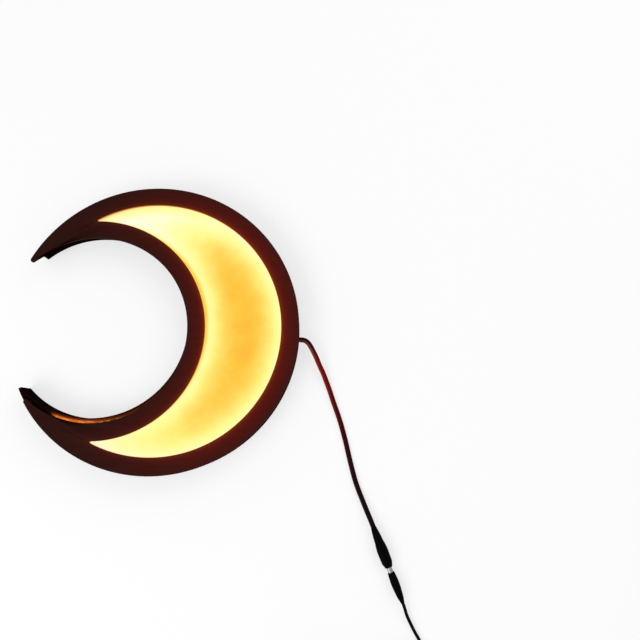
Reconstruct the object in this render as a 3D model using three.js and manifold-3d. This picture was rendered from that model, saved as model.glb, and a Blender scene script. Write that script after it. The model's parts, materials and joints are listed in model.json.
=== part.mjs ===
// A crescent moon light box, lying on its back on a table, with its lead, plug, supply cord and supply.
// Millimetres, +Z up. The table is z = 0 and the crescent opens towards -X.
// The plate's outer circle is centred on x = 0, y = 0 until the last lines, which move the origin to the
// middle of the box's footprint.

import * as THREE from 'three';
import { mergeVertices } from 'three/addons/utils/BufferGeometryUtils.js';
import Module from 'manifold-3d';

const wasm = await Module();
wasm.setup();

// Front plate: a board with a crescent outline and a crescent window. The horns' spread is the distance
// between the two points where the outer circle meets the bite's.
const plateRadius = 152.5;
const plateThickness = 3;
const biteRadius = 98;
const hornSpread = 121.62;
const outerBorder = 18.9;
const biteBorder = 18.6;
const hornRounding = 2.5;
const windowRounding = 0.9;

// Case: strips bent round the plate's outline. The plate was glued on a few degrees round from it.
const caseTurn = -4.9;
const plateOverhang = 0.3;
const wallHeight = 25;
const wallThickness = 3;
const glueLine = 0.3;
const panelRecess = 3;
const panelThickness = 3;
const sheetThickness = 1;
const panelTipRounding = 1.5;

// Joint of the two outer strips, where the lead comes out.
const exitAngle = 0;
const exitHeight = 12;
const exitClearance = 0.5;
const spliceLength = 26;
const spliceThickness = 5;
const dabRadius = 6;
const dabThickness = 3.5;

// Light tape and what is soldered on it.
const tapeWidth = 8;
const tapeThickness = 0.4;
const tapeTurnRadius = 8.5;
const tapeFromSplice = 8;
const ledPitch = 50 / 3;
const ledSide = 5;
const ledThickness = 1.6;
const ledSunk = 0.2;
const solderGap = 0.3;
const solderRadius = 1.1;
const solderHeight = 0.9;
const padAlong = 3.5;
const padSpacing = 3.2;
const wireRadius = 0.7;

// Sawtooth hanger on the back.
const hangerLength = 42;
const hangerWidth = 9;
const hangerThickness = 0.8;
const hangerFoot = 9;
const hangerRise = 1.2;
const hangerTeeth = 9;
const toothDepth = 1.4;
const hangerAngle = 72.7;
const hangerInset = 21.1;
const nailRadius = 0.6;
const nailHeadRadius = 1.5;
const nailHeadHeight = 0.5;
const nailDepth = 2.4;
const nailClearance = 0.15;

// Twin lead.
const leadWidth = 5.4;
const leadThickness = 2.7;

// Inline jack and plug, on one axis. Places along it start at the jack's rear.
const connectorX = 226.4;
const connectorY = -209;
const connectorHeading = -69.7;
const connectorRest = 0.05;
const jackLength = 42.5;
const jackRadius = 5.8;
const jackNeckRadius = 4.4;
const jackTailRadius = 2.8;
const jackNeckLength = 14;
const jackFlareLength = 10;
const socketDepth = 13.5;
const barrelRadius = 2.75;
const barrelWall = 0.3;
const barrelLength = 9.5;
const barrelShown = 5.3;
const barrelSeat = 4;
const contactClearance = 0.15;
const sleeveWall = 0.35;
const pinRadius = 0.95;
const pinShortOfMouth = 1.5;
const contactWall = 0.4;
const plugLength = 32;
const plugRadius = 4.4;
const plugShoulderRadius = 3.35;
const plugTailRadius = 1.95;

// Supply cord: what the picture shows, then a coil of eight and a third turns in two layers, then its end.
const cordRadius = 1.65;
const coilX = 255.5;
const coilY = -354.5;
const coilMiddleRadius = 19.5;
const coilTurnsPerLayer = 25 / 6;
const coilStartAngle = 30;
const coilStepsPerTurn = 24;
const coilSides = 6;
const turnGap = 0.55;
const endGap = 0.3;
const tieAngle = 165;
const tieWidth = 4;
const tieThickness = 0.8;
const tieClearance = 0.35;
const twistRadius = 1.1;
const twistLength = 9;

// Plug-in supply, lying with its blades up.
const adapterX = 170;
const adapterY = -384;
const adapterLength = 66;
const adapterWidth = 40;
const adapterHeight = 26;
const adapterCorner = 4;
const adapterWall = 2;
const adapterSeamHeight = 8.5;
const reliefLength = 20;
const reliefRadius = 3.6;
const reliefNeck = 2.6;
const reliefFlange = 2.2;
const bladeLength = 16;
const bladeWidth = 6.3;
const bladeThickness = 1.5;
const bladeSpacing = 12.7;
const bladeInset = 20;
const bladeRoot = 5;
const boardThickness = 1.6;
const boardHeight = 4.5;
const partsGap = 1.5;
const transformerLength = 20;
const transformerWidth = 17;
const transformerHeight = 12;
const capacitorRadius = 4;
const capacitorHeight = 11;

// Derived sizes.
const degree = Math.PI / 180;
const biteOffset = Math.sqrt(plateRadius ** 2 - (hornSpread / 2) ** 2)
  - Math.sqrt(biteRadius ** 2 - (hornSpread / 2) ** 2);
const caseRadius = plateRadius - plateOverhang;
const caseBite = biteRadius + plateOverhang;
const insideRadius = caseRadius - wallThickness - glueLine;
const insideBite = caseBite + wallThickness + glueLine;
const panelBottom = panelRecess;
const panelTop = panelBottom + panelThickness;
const sheetBottom = panelTop + glueLine;
const sheetTop = sheetBottom + sheetThickness;
const plateBottom = wallHeight + glueLine;
const blockBottom = sheetTop + glueLine;
const blockTop = wallHeight - glueLine;
const hangerX = (insideRadius - hangerInset) * Math.cos(hangerAngle * degree);
const hangerY = (insideRadius - hangerInset) * Math.sin(hangerAngle * degree);
const tapeMiddle = (sheetTop + plateBottom) / 2;
const cordDiameter = 2 * cordRadius;
const reliefHeight = adapterSeamHeight + glueLine / 2;

function colour(r, g, b, roughness, metalness) {
  return new THREE.MeshStandardMaterial({ color: new THREE.Color(r, g, b), roughness, metalness });
}

// Points of an arc, in degrees, with a point about every step degrees.
function arc(x, y, radius, from, to, step = 4) {
  const count = Math.max(2, Math.ceil(Math.abs(to - from) / step));
  return Array.from({ length: count + 1 }, (_, i) => {
    const angle = (from + ((to - from) * i) / count) * degree;
    return new THREE.Vector2(x + radius * Math.cos(angle), y + radius * Math.sin(angle));
  });
}

// Where a circle about the origin crosses one about the bite's centre, above the X axis.
function crossing(outer, bite) {
  const x = (bite * bite - outer * outer - biteOffset * biteOffset) / (2 * biteOffset);
  return new THREE.Vector2(x, Math.sqrt(outer * outer - x * x));
}

function angleAbout(x, point) {
  return Math.atan2(point.y, point.x - x) / degree;
}

// The path of a crescent with rounded horns, anticlockwise from one angle on the outer arc to another.
function crescentPath(outer, bite, rounding, from, to) {
  const horn = crossing(outer - rounding, bite + rounding);
  const outerEnd = angleAbout(0, horn);
  const biteEnd = angleAbout(-biteOffset, horn);
  return [
    ...arc(0, 0, outer, from, outerEnd),
    ...arc(horn.x, horn.y, rounding, outerEnd, biteEnd + 180, 36).slice(1),
    ...arc(-biteOffset, 0, bite, biteEnd, -biteEnd).slice(1),
    ...arc(horn.x, -horn.y, rounding, 180 - biteEnd, 360 - outerEnd, 36).slice(1),
    ...arc(0, 0, outer, 360 - outerEnd, to + 360).slice(1),
  ];
}

function crescent(outer, bite, rounding) {
  return crescentPath(outer, bite, rounding, 0, 0).slice(0, -1);
}

function prism(outline, bottom, height, hole) {
  const shape = new THREE.Shape(outline);
  if (hole) shape.holes.push(new THREE.Path(hole));
  const geometry = new THREE.ExtrudeGeometry(shape, { depth: height, bevelEnabled: false });
  return geometry.translate(0, 0, bottom);
}

function bare(geometry) {
  const copy = geometry.index ? geometry.toNonIndexed() : geometry.clone();
  for (const name of ['normal', 'uv', 'uv1']) copy.deleteAttribute(name);
  return mergeVertices(copy, 1e-4);
}

function toManifold(geometry) {
  const merged = bare(geometry);
  const mesh = new wasm.Mesh({
    numProp: 3,
    vertProperties: new Float32Array(merged.attributes.position.array),
    triVerts: new Uint32Array(merged.index.array),
  });
  return new wasm.Manifold(mesh);
}

function toGeometry(manifold) {
  const mesh = manifold.getMesh();
  const geometry = new THREE.BufferGeometry();
  geometry.setAttribute('position', new THREE.BufferAttribute(new Float32Array(mesh.vertProperties), 3));
  geometry.setIndex(new THREE.BufferAttribute(new Uint32Array(mesh.triVerts), 1));
  return geometry;
}

function cut(geometry, ...tools) {
  return toGeometry(tools.reduce((rest, tool) => rest.subtract(toManifold(tool)), toManifold(geometry)));
}

function join(...geometries) {
  const [first, ...others] = geometries.map(toManifold);
  return toGeometry(others.reduce((whole, other) => whole.add(other), first));
}

// A round bar along Z, and one along X, about the origin.
function upright(radius, length, sides) {
  return new THREE.CylinderGeometry(radius, radius, length, sides).rotateX(Math.PI / 2);
}

function level(radius, length, sides) {
  return new THREE.CylinderGeometry(radius, radius, length, sides).rotateZ(Math.PI / 2);
}

function block(x0, x1, y0, y1, z0, z1) {
  const geometry = new THREE.BoxGeometry(x1 - x0, y1 - y0, z1 - z0);
  return geometry.translate((x0 + x1) / 2, (y0 + y1) / 2, (z0 + z1) / 2);
}

// A turned solid along +X, from pairs of place and radius that start and end on the axis.
function turned(pairs, sides = 20) {
  const profile = pairs.map(([along, radius]) => new THREE.Vector2(radius, along));
  return new THREE.LatheGeometry(profile, sides).rotateZ(-Math.PI / 2);
}

function tubeAlongX(from, to, inner, outer, sides = 20) {
  return turned([[from, inner], [from, outer], [to, outer], [to, inner], [from, inner]], sides);
}

// A tube along points, with a section given as a shape whose y lies across the path and level.
function tube(points, section, steps) {
  const extrudePath = new THREE.CatmullRomCurve3(points, false, 'centripetal');
  return new THREE.ExtrudeGeometry(section, { steps, bevelEnabled: false, extrudePath });
}

function roundSection(radius, sides = 8) {
  return new THREE.Shape(arc(0, 0, radius, 0, 360, 360 / sides).slice(0, -1));
}

const box = new THREE.Group();
const caseGroup = new THREE.Group();
caseGroup.rotation.z = caseTurn * degree;
const connectors = new THREE.Group();
connectors.position.set(connectorX, connectorY, jackRadius + connectorRest);
connectors.rotation.z = connectorHeading * degree;
const connectorDirection = new THREE.Vector3(1, 0, 0).applyEuler(connectors.rotation);
const adapter = new THREE.Group();
adapter.position.set(adapterX, adapterY, 0);
box.add(caseGroup, connectors, adapter);

function add(parent, name, geometry, material) {
  const mesh = new THREE.Mesh(geometry, material);
  mesh.name = name;
  parent.add(mesh);
  return mesh;
}

// Finishes.
const stainedBoard = () => colour(0.09, 0.03, 0.02, 0.6, 0);
const stainedStrip = () => colour(0.06, 0.02, 0.015, 0.65, 0);
const rawBoard = () => colour(0.45, 0.3, 0.18, 0.8, 0);
const whiteSheet = () => colour(0.95, 0.85, 0.6, 0.5, 0);
const blackPlastic = () => colour(0.015, 0.015, 0.017, 0.4, 0);
const nickel = () => colour(0.75, 0.74, 0.72, 0.25, 1);
const redPlastic = () => colour(0.45, 0.01, 0.01, 0.4, 0);

// Front plate. Its window is the outline drawn in by the two borders.
{
  const outline = crescent(plateRadius, biteRadius, hornRounding);
  const window = crescent(plateRadius - outerBorder, biteRadius + biteBorder, windowRounding);
  add(box, 'front_plate', prism(outline, plateBottom, plateThickness, window.reverse()), stainedBoard());
}

// The hole for the lead, through the strips, the block behind them and the dab of glue.
const exitPlace = new THREE.Vector3(Math.cos(exitAngle * degree), Math.sin(exitAngle * degree), 0);
const exitHoleRadius = leadWidth / 2 + exitClearance;
const dabInside = insideRadius - spliceThickness - glueLine - dabThickness;
function exitHole(radius) {
  const length = caseRadius + wallThickness - dabInside + 2 * dabThickness;
  const hole = level(radius, length, 16).translate(dabInside - dabThickness + length / 2, 0, exitHeight);
  return hole.rotateZ(exitAngle * degree);
}

// Outer strips. Each ends in the horn where the bite's face reaches the strip's own inner face.
const hornEnd = angleAbout(0, crossing(caseRadius - wallThickness - glueLine, caseBite));
function outerStrip(from, to) {
  const outline = [
    ...arc(0, 0, caseRadius, from, to),
    ...arc(0, 0, caseRadius - wallThickness, to, from),
  ];
  return cut(prism(outline, 0, wallHeight), exitHole(exitHoleRadius));
}
const halfJoint = glueLine / 2 / caseRadius / degree;
add(caseGroup, 'outer_wall_upper', outerStrip(exitAngle + halfJoint, hornEnd), stainedStrip());
add(caseGroup, 'outer_wall_lower', outerStrip(-hornEnd, exitAngle - halfJoint), stainedStrip());

// Inner strip, round the bite. Its ends are cut to lie against the outer strips.
{
  const limit = caseRadius - wallThickness - glueLine;
  const face = crossing(limit, caseBite);
  const back = crossing(limit, caseBite + wallThickness);
  const faceEnd = angleAbout(-biteOffset, face);
  const backEnd = angleAbout(-biteOffset, back);
  const outline = [
    ...arc(-biteOffset, 0, caseBite, faceEnd, -faceEnd),
    ...arc(0, 0, limit, -angleAbout(0, face), -angleAbout(0, back)).slice(1),
    ...arc(-biteOffset, 0, caseBite + wallThickness, -backEnd, backEnd).slice(1),
    ...arc(0, 0, limit, angleAbout(0, back), angleAbout(0, face)).slice(1, -1),
  ];
  add(caseGroup, 'inner_wall', prism(outline, 0, wallHeight), stainedStrip());
}

// Sawtooth hanger: a strip with two feet against the panel and a raised, toothed middle.
const hanger = new THREE.Group();
hanger.position.set(hangerX, hangerY, 0);
caseGroup.add(hanger);
const footTop = panelBottom - glueLine;
const nailHoleRadius = nailRadius + nailClearance;
const nailPlaces = [-1, 1].map((side) => (side * (hangerLength - hangerFoot)) / 2);
{
  const half = hangerLength / 2;
  const bend = half - hangerFoot;
  const top = [
    [-half, footTop], [-bend, footTop], [-bend + hangerRise, footTop - hangerRise],
    [bend - hangerRise, footTop - hangerRise], [bend, footTop], [half, footTop],
  ];
  const bottom = top.map(([x, z]) => [x, z - hangerThickness]).reverse();
  const side = [...top, ...bottom].map(([x, z]) => new THREE.Vector2(x, z));
  const strip = prism(side, -hangerWidth / 2, hangerWidth).rotateX(Math.PI / 2);
  const pitch = (2 * (bend - hangerRise)) / hangerTeeth;
  const teeth = Array.from({ length: hangerTeeth }, (_, i) => {
    const x = -bend + hangerRise + pitch * (i + 0.5);
    const edge = -hangerWidth / 2;
    const notch = [[-0.45, -1], [0.45, -1], [0, toothDepth]].map(
      ([across, in_]) => new THREE.Vector2(x + across * pitch, edge + in_),
    );
    return prism(notch, footTop - 2 * hangerRise - hangerThickness, 3 * hangerRise + hangerThickness);
  });
  const holes = nailPlaces.map((x) => upright(nailHoleRadius, 4 * hangerThickness, 12)
    .translate(x, 0, footTop - hangerThickness / 2));
  add(hanger, 'hanger', cut(strip, ...teeth, ...holes), colour(0.6, 0.5, 0.3, 0.35, 1));
  nailPlaces.forEach((x, i) => {
    const under = footTop - hangerThickness - nailClearance;
    const profile = [
      [under - nailHeadHeight, 0], [under - nailHeadHeight, nailHeadRadius * 0.8],
      [under, nailHeadRadius], [under, nailRadius], [panelBottom + nailDepth, nailRadius],
      [panelBottom + nailDepth, 0],
    ];
    const nail = turned(profile, 12).rotateY(-Math.PI / 2).translate(x, 0, 0);
    add(hanger, ['hanger_nail_left', 'hanger_nail_right'][i], nail, nickel());
  });
}

// Back panel and the pale sheet on it, both cut to the inside of the strips.
{
  const outline = crescent(insideRadius, insideBite, panelTipRounding);
  const nailHoles = nailPlaces.map((x) => upright(nailHoleRadius, 2 * nailDepth, 12)
    .translate(hangerX + x, hangerY, panelBottom + nailClearance));
  const panel = cut(prism(outline, panelBottom, panelThickness), ...nailHoles);
  add(caseGroup, 'back_panel', panel, rawBoard());
  add(caseGroup, 'reflector_sheet', prism(outline, sheetBottom, sheetThickness), whiteSheet());
}

// Where the tape turns from one wall to the other, and the fillers of the horns behind it.
const tapeTurn = crossing(insideRadius - tapeTurnRadius, insideBite + tapeTurnRadius);
const turnDistance = Math.hypot(tapeTurn.x + biteOffset, tapeTurn.y);
const hornFace = angleAbout(-biteOffset, tapeTurn)
  + Math.asin((tapeTurnRadius + glueLine) / turnDistance) / degree;
{
  const tip = crossing(insideRadius - panelTipRounding, insideBite + panelTipRounding);
  const faceX = -biteOffset + Math.cos(hornFace * degree) * insideBite;
  const faceY = Math.sin(hornFace * degree) * insideBite;
  const slope = new THREE.Vector2(Math.cos(hornFace * degree), Math.sin(hornFace * degree));
  const reach = slope.dot(new THREE.Vector2(faceX, faceY));
  const outerDistance = -reach
    + Math.sqrt(reach * reach + insideRadius * insideRadius - faceX * faceX - faceY * faceY);
  const outerCorner = new THREE.Vector2(faceX, faceY).addScaledVector(slope, outerDistance);
  const outerTip = angleAbout(0, tip);
  const biteTip = angleAbout(-biteOffset, tip);
  const outline = [
    ...arc(0, 0, insideRadius, angleAbout(0, outerCorner), outerTip, 3),
    ...arc(tip.x, tip.y, panelTipRounding, outerTip, biteTip + 180, 36).slice(1),
    ...arc(-biteOffset, 0, insideBite, biteTip, hornFace, 3).slice(1),
  ];
  const upper = prism(outline, blockBottom, blockTop - blockBottom);
  add(caseGroup, 'horn_block_upper', upper, rawBoard());
  const mirrored = outline.map((point) => new THREE.Vector2(point.x, -point.y)).reverse();
  const lower = prism(mirrored, blockBottom, blockTop - blockBottom);
  add(caseGroup, 'horn_block_lower', lower, rawBoard());
}

// Block behind the joint of the outer strips, and the dab of glue that holds the lead.
const spliceHalf = spliceLength / 2 / insideRadius / degree;
{
  const outline = [
    ...arc(0, 0, insideRadius, exitAngle - spliceHalf, exitAngle + spliceHalf, 3),
    ...arc(0, 0, insideRadius - spliceThickness, exitAngle + spliceHalf, exitAngle - spliceHalf, 3),
  ];
  const spliceBlock = cut(prism(outline, blockBottom, blockTop - blockBottom), exitHole(exitHoleRadius));
  add(caseGroup, 'splice_block', spliceBlock, rawBoard());
  const dab = turned([
    [-dabThickness, 0], [-dabThickness, dabRadius * 0.45], [-dabThickness * 0.75, dabRadius * 0.75],
    [-dabThickness * 0.3, dabRadius * 0.96], [0, dabRadius], [0, 0],
  ], 16);
  dab.scale(1, 1, (exitHeight - blockBottom) / dabRadius);
  dab.translate(insideRadius - spliceThickness - glueLine, 0, exitHeight).rotateZ(exitAngle * degree);
  add(caseGroup, 'glue_dab', cut(dab, exitHole(leadWidth / 2 + glueLine)), colour(0.8, 0.75, 0.6, 0.35, 0));
}

// Light tape: one loop from the joint round both walls and back to the joint.
const tapeStart = exitAngle + spliceHalf + tapeFromSplice / insideRadius / degree;
const tapeStop = exitAngle - spliceHalf - tapeFromSplice / insideRadius / degree;
const tapeFace = crescentPath(
  insideRadius - tapeThickness, insideBite + tapeThickness, tapeTurnRadius - tapeThickness,
  tapeStart, tapeStop,
);

// The place and the inward direction at a distance along the tape's face.
function alongTape(distance) {
  let left = distance;
  for (let i = 1; i < tapeFace.length; i += 1) {
    const step = tapeFace[i].clone().sub(tapeFace[i - 1]);
    const length = step.length();
    if (left <= length) {
      const inward = new THREE.Vector2(-step.y, step.x).divideScalar(length);
      return { place: tapeFace[i - 1].clone().addScaledVector(step, left / length), inward };
    }
    left -= length;
  }
  return null;
}
const tapeLength = tapeFace.slice(1).reduce((sum, point, i) => sum + point.distanceTo(tapeFace[i]), 0);

// A light on the tape's face, at a distance along it.
function light(distance) {
  const { place, inward } = alongTape(distance);
  const piece = new THREE.BoxGeometry(ledThickness + ledSunk, ledSide, ledSide);
  piece.rotateZ(Math.atan2(inward.y, inward.x));
  const centre = place.addScaledVector(inward, (ledThickness - ledSunk) / 2);
  return piece.translate(centre.x, centre.y, tapeMiddle);
}

// The tape is bare where it turns in the horns, because its lights can't bend.
const outerTurnAngle = angleAbout(0, tapeTurn);
const biteTurnAngle = angleAbout(-biteOffset, tapeTurn);
const turnArc = (180 - biteTurnAngle + outerTurnAngle) * degree * tapeTurnRadius;
const outerRun = (outerTurnAngle - tapeStart) * degree * insideRadius;
const biteRun = 2 * biteTurnAngle * degree * insideBite;
function onStraightRun(distance, length) {
  const turns = [outerRun, outerRun + turnArc + biteRun];
  return turns.every((from) => distance + length / 2 < from || distance - length / 2 > from + turnArc);
}
{
  const tapeBack = crescentPath(insideRadius, insideBite, tapeTurnRadius, tapeStart, tapeStop);
  const ribbon = prism([...tapeBack, ...tapeFace.slice().reverse()], tapeMiddle - tapeWidth / 2, tapeWidth);
  const places = Array.from({ length: Math.floor(tapeLength / ledPitch) }, (_, i) => ledPitch * (i + 0.5));
  const lights = places.filter((at) => onStraightRun(at, 1.4 * ledSide)).map(light);
  add(caseGroup, 'led_tape', join(ribbon, ...lights), colour(0.85, 0.8, 0.7, 0.5, 0));
}

// Solder on the tape's first two pads, and the two cores that run to it from the end of the lead.
const leadInnerEnd = dabInside - 1;
{
  const { place, inward } = alongTape(padAlong);
  [-1, 1].forEach((side) => {
    const dome = turned([
      [0, 0], [0, solderRadius], [solderHeight * 0.6, solderRadius * 0.8], [solderHeight, solderRadius * 0.4],
      [solderHeight, 0],
    ], 10);
    dome.rotateZ(Math.atan2(inward.y, inward.x));
    const base = place.clone().addScaledVector(inward, solderGap);
    dome.translate(base.x, base.y, tapeMiddle + (side * padSpacing) / 2);
    add(caseGroup, side > 0 ? 'solder_red' : 'solder_black', dome, nickel());
  });
  const wire = (side) => {
    const across = new THREE.Vector3(-exitPlace.y, exitPlace.x, 0);
    const start = exitPlace.clone().multiplyScalar(leadInnerEnd - endGap);
    start.addScaledVector(across, (side * leadWidth) / 4).setZ(exitHeight);
    const joint = new THREE.Vector3(place.x, place.y, tapeMiddle + (side * padSpacing) / 2);
    const fromJoint = (distance) => joint.clone().add(
      new THREE.Vector3(inward.x, inward.y, 0).multiplyScalar(distance),
    );
    const bend = start.clone().addScaledVector(exitPlace, -4.5).addScaledVector(across, 5.5);
    const climb = start.clone().lerp(fromJoint(9), 0.6);
    const points = [
      start,
      start.clone().addScaledVector(exitPlace, -2),
      bend.addScaledVector(exitPlace, side).addScaledVector(across, -side * 0.5),
      climb.addScaledVector(exitPlace, side - 2),
      fromJoint(5),
      fromJoint(solderGap + solderHeight + endGap),
    ];
    return tube(points, roundSection(wireRadius, 6), 16);
  };
  add(caseGroup, 'inner_wire_red', wire(1), redPlastic());
  add(caseGroup, 'inner_wire_black', wire(-1), blackPlastic());
}

// Twin lead: from inside the dab, out of the hole, down to the table and along it to the jack.
{
  const turn = new THREE.Matrix4().makeRotationZ(caseTurn * degree);
  const out = exitPlace.clone().applyMatrix4(turn);
  const from = (radius) => out.clone().multiplyScalar(radius).setZ(exitHeight);
  const jackRear = connectors.position.clone();
  const route = [
    from(leadInnerEnd),
    from(insideRadius - spliceThickness),
    from(insideRadius),
    from(caseRadius + 1.5),
    new THREE.Vector3(157.6, -13.8, 12),
    new THREE.Vector3(161.4, -16.4, 11.9),
    new THREE.Vector3(164.2, -20.5, 11.5),
    new THREE.Vector3(167.5, -26.9, 10.7),
    new THREE.Vector3(170.4, -33.2, 9.4),
    new THREE.Vector3(173.4, -40.6, 7.5),
    new THREE.Vector3(176.8, -48.0, 5.5),
    new THREE.Vector3(180.0, -56.5, 3.6),
    new THREE.Vector3(183.8, -67.2, 2.2),
    new THREE.Vector3(187.1, -77.8, 1.6),
    new THREE.Vector3(194.1, -99.2, 1.5),
    new THREE.Vector3(199.5, -120.3, 1.5),
    new THREE.Vector3(203.9, -141.1, 1.5),
    new THREE.Vector3(208.9, -161.8, 1.7),
    new THREE.Vector3(212.3, -172.1, 2.2),
    new THREE.Vector3(216.1, -182.3, 3.2),
    new THREE.Vector3(219.9, -192.3, 4.5),
    jackRear.clone().addScaledVector(connectorDirection, -endGap - leadWidth),
    jackRear.clone().addScaledVector(connectorDirection, -endGap),
  ];
  const halfThick = leadThickness / 2;
  const halfWide = leadWidth / 2;
  const section = new THREE.Shape([
    [halfThick, halfWide - halfThick], [halfThick * 0.62, 0], [halfThick, -halfWide + halfThick],
    [halfThick * 0.5, -halfWide], [-halfThick * 0.5, -halfWide], [-halfThick, -halfWide + halfThick],
    [-halfThick * 0.62, 0], [-halfThick, halfWide - halfThick], [-halfThick * 0.5, halfWide],
    [halfThick * 0.5, halfWide],
  ].map(([x, y]) => new THREE.Vector2(x, y)));
  add(box, 'lead', tube(route, section, 44), redPlastic());
}

// Inline jack: a moulded body with a neck, its outer contact and its pin.
const sleeveInner = barrelRadius + contactClearance;
const sleeveOuter = sleeveInner + sleeveWall;
const socketFloor = jackLength - socketDepth;
{
  const bore = sleeveOuter + contactClearance;
  const body = turned([
    [0, 0], [0, jackTailRadius], [jackNeckLength * 0.25, jackNeckRadius * 0.78],
    [jackNeckLength * 0.6, jackNeckRadius * 0.92], [jackNeckLength, jackNeckRadius],
    [jackNeckLength + jackFlareLength * 0.5, jackRadius * 0.88],
    [jackNeckLength + jackFlareLength, jackRadius],
    [jackLength * 0.76, jackRadius * 0.98], [jackLength * 0.89, jackRadius * 0.94],
    [jackLength * 0.96, jackRadius * 0.82], [jackLength, jackRadius * 0.68],
    [jackLength, bore], [socketFloor, bore], [socketFloor, 0],
  ], 24);
  add(connectors, 'jack_body', body, blackPlastic());
  const mouth = jackLength - 0.4;
  const sleeve = tubeAlongX(socketFloor + glueLine, mouth, sleeveInner, sleeveOuter);
  add(connectors, 'jack_sleeve', sleeve, nickel());
  const pinEnd = jackLength - pinShortOfMouth;
  const pin = turned([
    [socketFloor + glueLine, 0], [socketFloor + glueLine, pinRadius], [pinEnd - pinRadius * 0.6, pinRadius],
    [pinEnd, pinRadius * 0.5], [pinEnd, 0],
  ], 12);
  add(connectors, 'jack_pin', pin, nickel());
}

// Plug: a moulded body, and its barrel, insulating ring and inner contact seated in it.
const plugShoulder = jackLength + barrelShown;
const barrelTip = plugShoulder - barrelLength;
const barrelInner = barrelRadius - barrelWall;
const contactInner = pinRadius + contactClearance;
const contactOuter = contactInner + contactWall;
{
  const seat = plugShoulder + barrelSeat;
  const end = plugShoulder + plugLength;
  const body = turned([
    [seat, 0], [seat, barrelRadius + contactClearance], [plugShoulder, barrelRadius + contactClearance],
    [plugShoulder, plugShoulderRadius],
    [plugShoulder + plugLength * 0.1, plugRadius * 0.88],
    [plugShoulder + plugLength * 0.22, plugRadius * 0.96],
    [plugShoulder + plugLength * 0.35, plugRadius],
    [plugShoulder + plugLength * 0.56, plugRadius * 0.93],
    [plugShoulder + plugLength * 0.7, plugRadius * 0.83],
    [plugShoulder + plugLength * 0.84, plugRadius * 0.68],
    [plugShoulder + plugLength * 0.93, plugTailRadius * 1.2],
    [end, plugTailRadius], [end, 0],
  ], 24);
  add(connectors, 'plug_body', body, blackPlastic());
  const root = seat - glueLine;
  add(connectors, 'plug_barrel', tubeAlongX(barrelTip, root, barrelInner, barrelRadius), nickel());
  const ring = tubeAlongX(
    barrelTip + 0.2, root, contactOuter + contactClearance, barrelInner - contactClearance,
  );
  add(connectors, 'plug_insulator', ring, blackPlastic());
  const contact = tubeAlongX(barrelTip + 0.8, root, contactInner, contactOuter, 12);
  add(connectors, 'plug_contact', contact, nickel());
}

// Coil of the supply cord: in on the lower layer, up in the half turn where it reverses, out on the upper.
const turnPitch = cordDiameter + turnGap;
const lowerLayer = tieThickness + tieClearance + cordRadius;
const upperLayer = lowerLayer + turnPitch;
const coilInner = coilMiddleRadius - (coilTurnsPerLayer * turnPitch) / 2;
function coilPoint(turn) {
  const angle = (coilStartAngle - 360 * turn) * degree;
  const radius = coilInner + turnPitch * Math.abs(turn - coilTurnsPerLayer);
  const climb = THREE.MathUtils.clamp((turn - coilTurnsPerLayer) * 2 + 0.5, 0, 1);
  const height = lowerLayer + (upperLayer - lowerLayer) * (0.5 - 0.5 * Math.cos(climb * Math.PI));
  return new THREE.Vector3(coilX + radius * Math.cos(angle), coilY + radius * Math.sin(angle), height);
}
const coilSteps = Math.round(2 * coilTurnsPerLayer * coilStepsPerTurn);
const turnsPerStep = (2 * coilTurnsPerLayer) / coilSteps;
const coilTurns = Array.from({ length: coilSteps + 1 }, (_, i) => coilPoint(i * turnsPerStep));
const headingIn = coilTurns[1].clone().sub(coilTurns[0]).setZ(0).normalize();
const headingOut = coilTurns[coilSteps].clone().sub(coilTurns[coilSteps - 1]).setZ(0).normalize();
const coilPath = [
  coilTurns[0].clone().addScaledVector(headingIn, -cordDiameter),
  ...coilTurns,
  coilTurns[coilSteps].clone().addScaledVector(headingOut, cordDiameter),
];

// A round tube with a ring of points at each point of its path, its first corner level with the path.
function ringedTube(path, radius, sides) {
  const positions = [];
  const indices = [];
  const up = new THREE.Vector3(0, 0, 1);
  path.forEach((point, i) => {
    const before = path[Math.max(i - 1, 0)];
    const after = path[Math.min(i + 1, path.length - 1)];
    const forward = after.clone().sub(before).normalize();
    const side = forward.clone().cross(up).normalize();
    const over = side.clone().cross(forward);
    for (let k = 0; k < sides; k += 1) {
      const angle = (2 * Math.PI * k) / sides;
      const corner = point.clone().addScaledVector(side, radius * Math.cos(angle));
      positions.push(...corner.addScaledVector(over, radius * Math.sin(angle)));
    }
  });
  const ring = (i, k) => i * sides + (k % sides);
  for (let i = 0; i + 1 < path.length; i += 1) {
    for (let k = 0; k < sides; k += 1) {
      indices.push(ring(i, k), ring(i + 1, k), ring(i + 1, k + 1));
      indices.push(ring(i, k), ring(i + 1, k + 1), ring(i, k + 1));
    }
  }
  for (let k = 1; k + 1 < sides; k += 1) {
    indices.push(ring(0, 0), ring(0, k), ring(0, k + 1));
    const last = path.length - 1;
    indices.push(ring(last, 0), ring(last, k + 1), ring(last, k));
  }
  const geometry = new THREE.BufferGeometry();
  geometry.setAttribute('position', new THREE.Float32BufferAttribute(positions, 3));
  geometry.setIndex(indices);
  return geometry;
}
add(box, 'supply_coil', ringedTube(coilPath, cordRadius, coilSides), blackPlastic());

// The least gap between turns, between points more than half a turn apart along the cord.
{
  let least = Infinity;
  const apart = coilStepsPerTurn / 2;
  coilPath.forEach((point, i) => {
    for (const other of coilPath.slice(i + apart)) least = Math.min(least, point.distanceTo(other));
  });
  console.log(`least gap in supply_coil: ${(least - cordDiameter).toFixed(2)} mm`);
}

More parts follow.
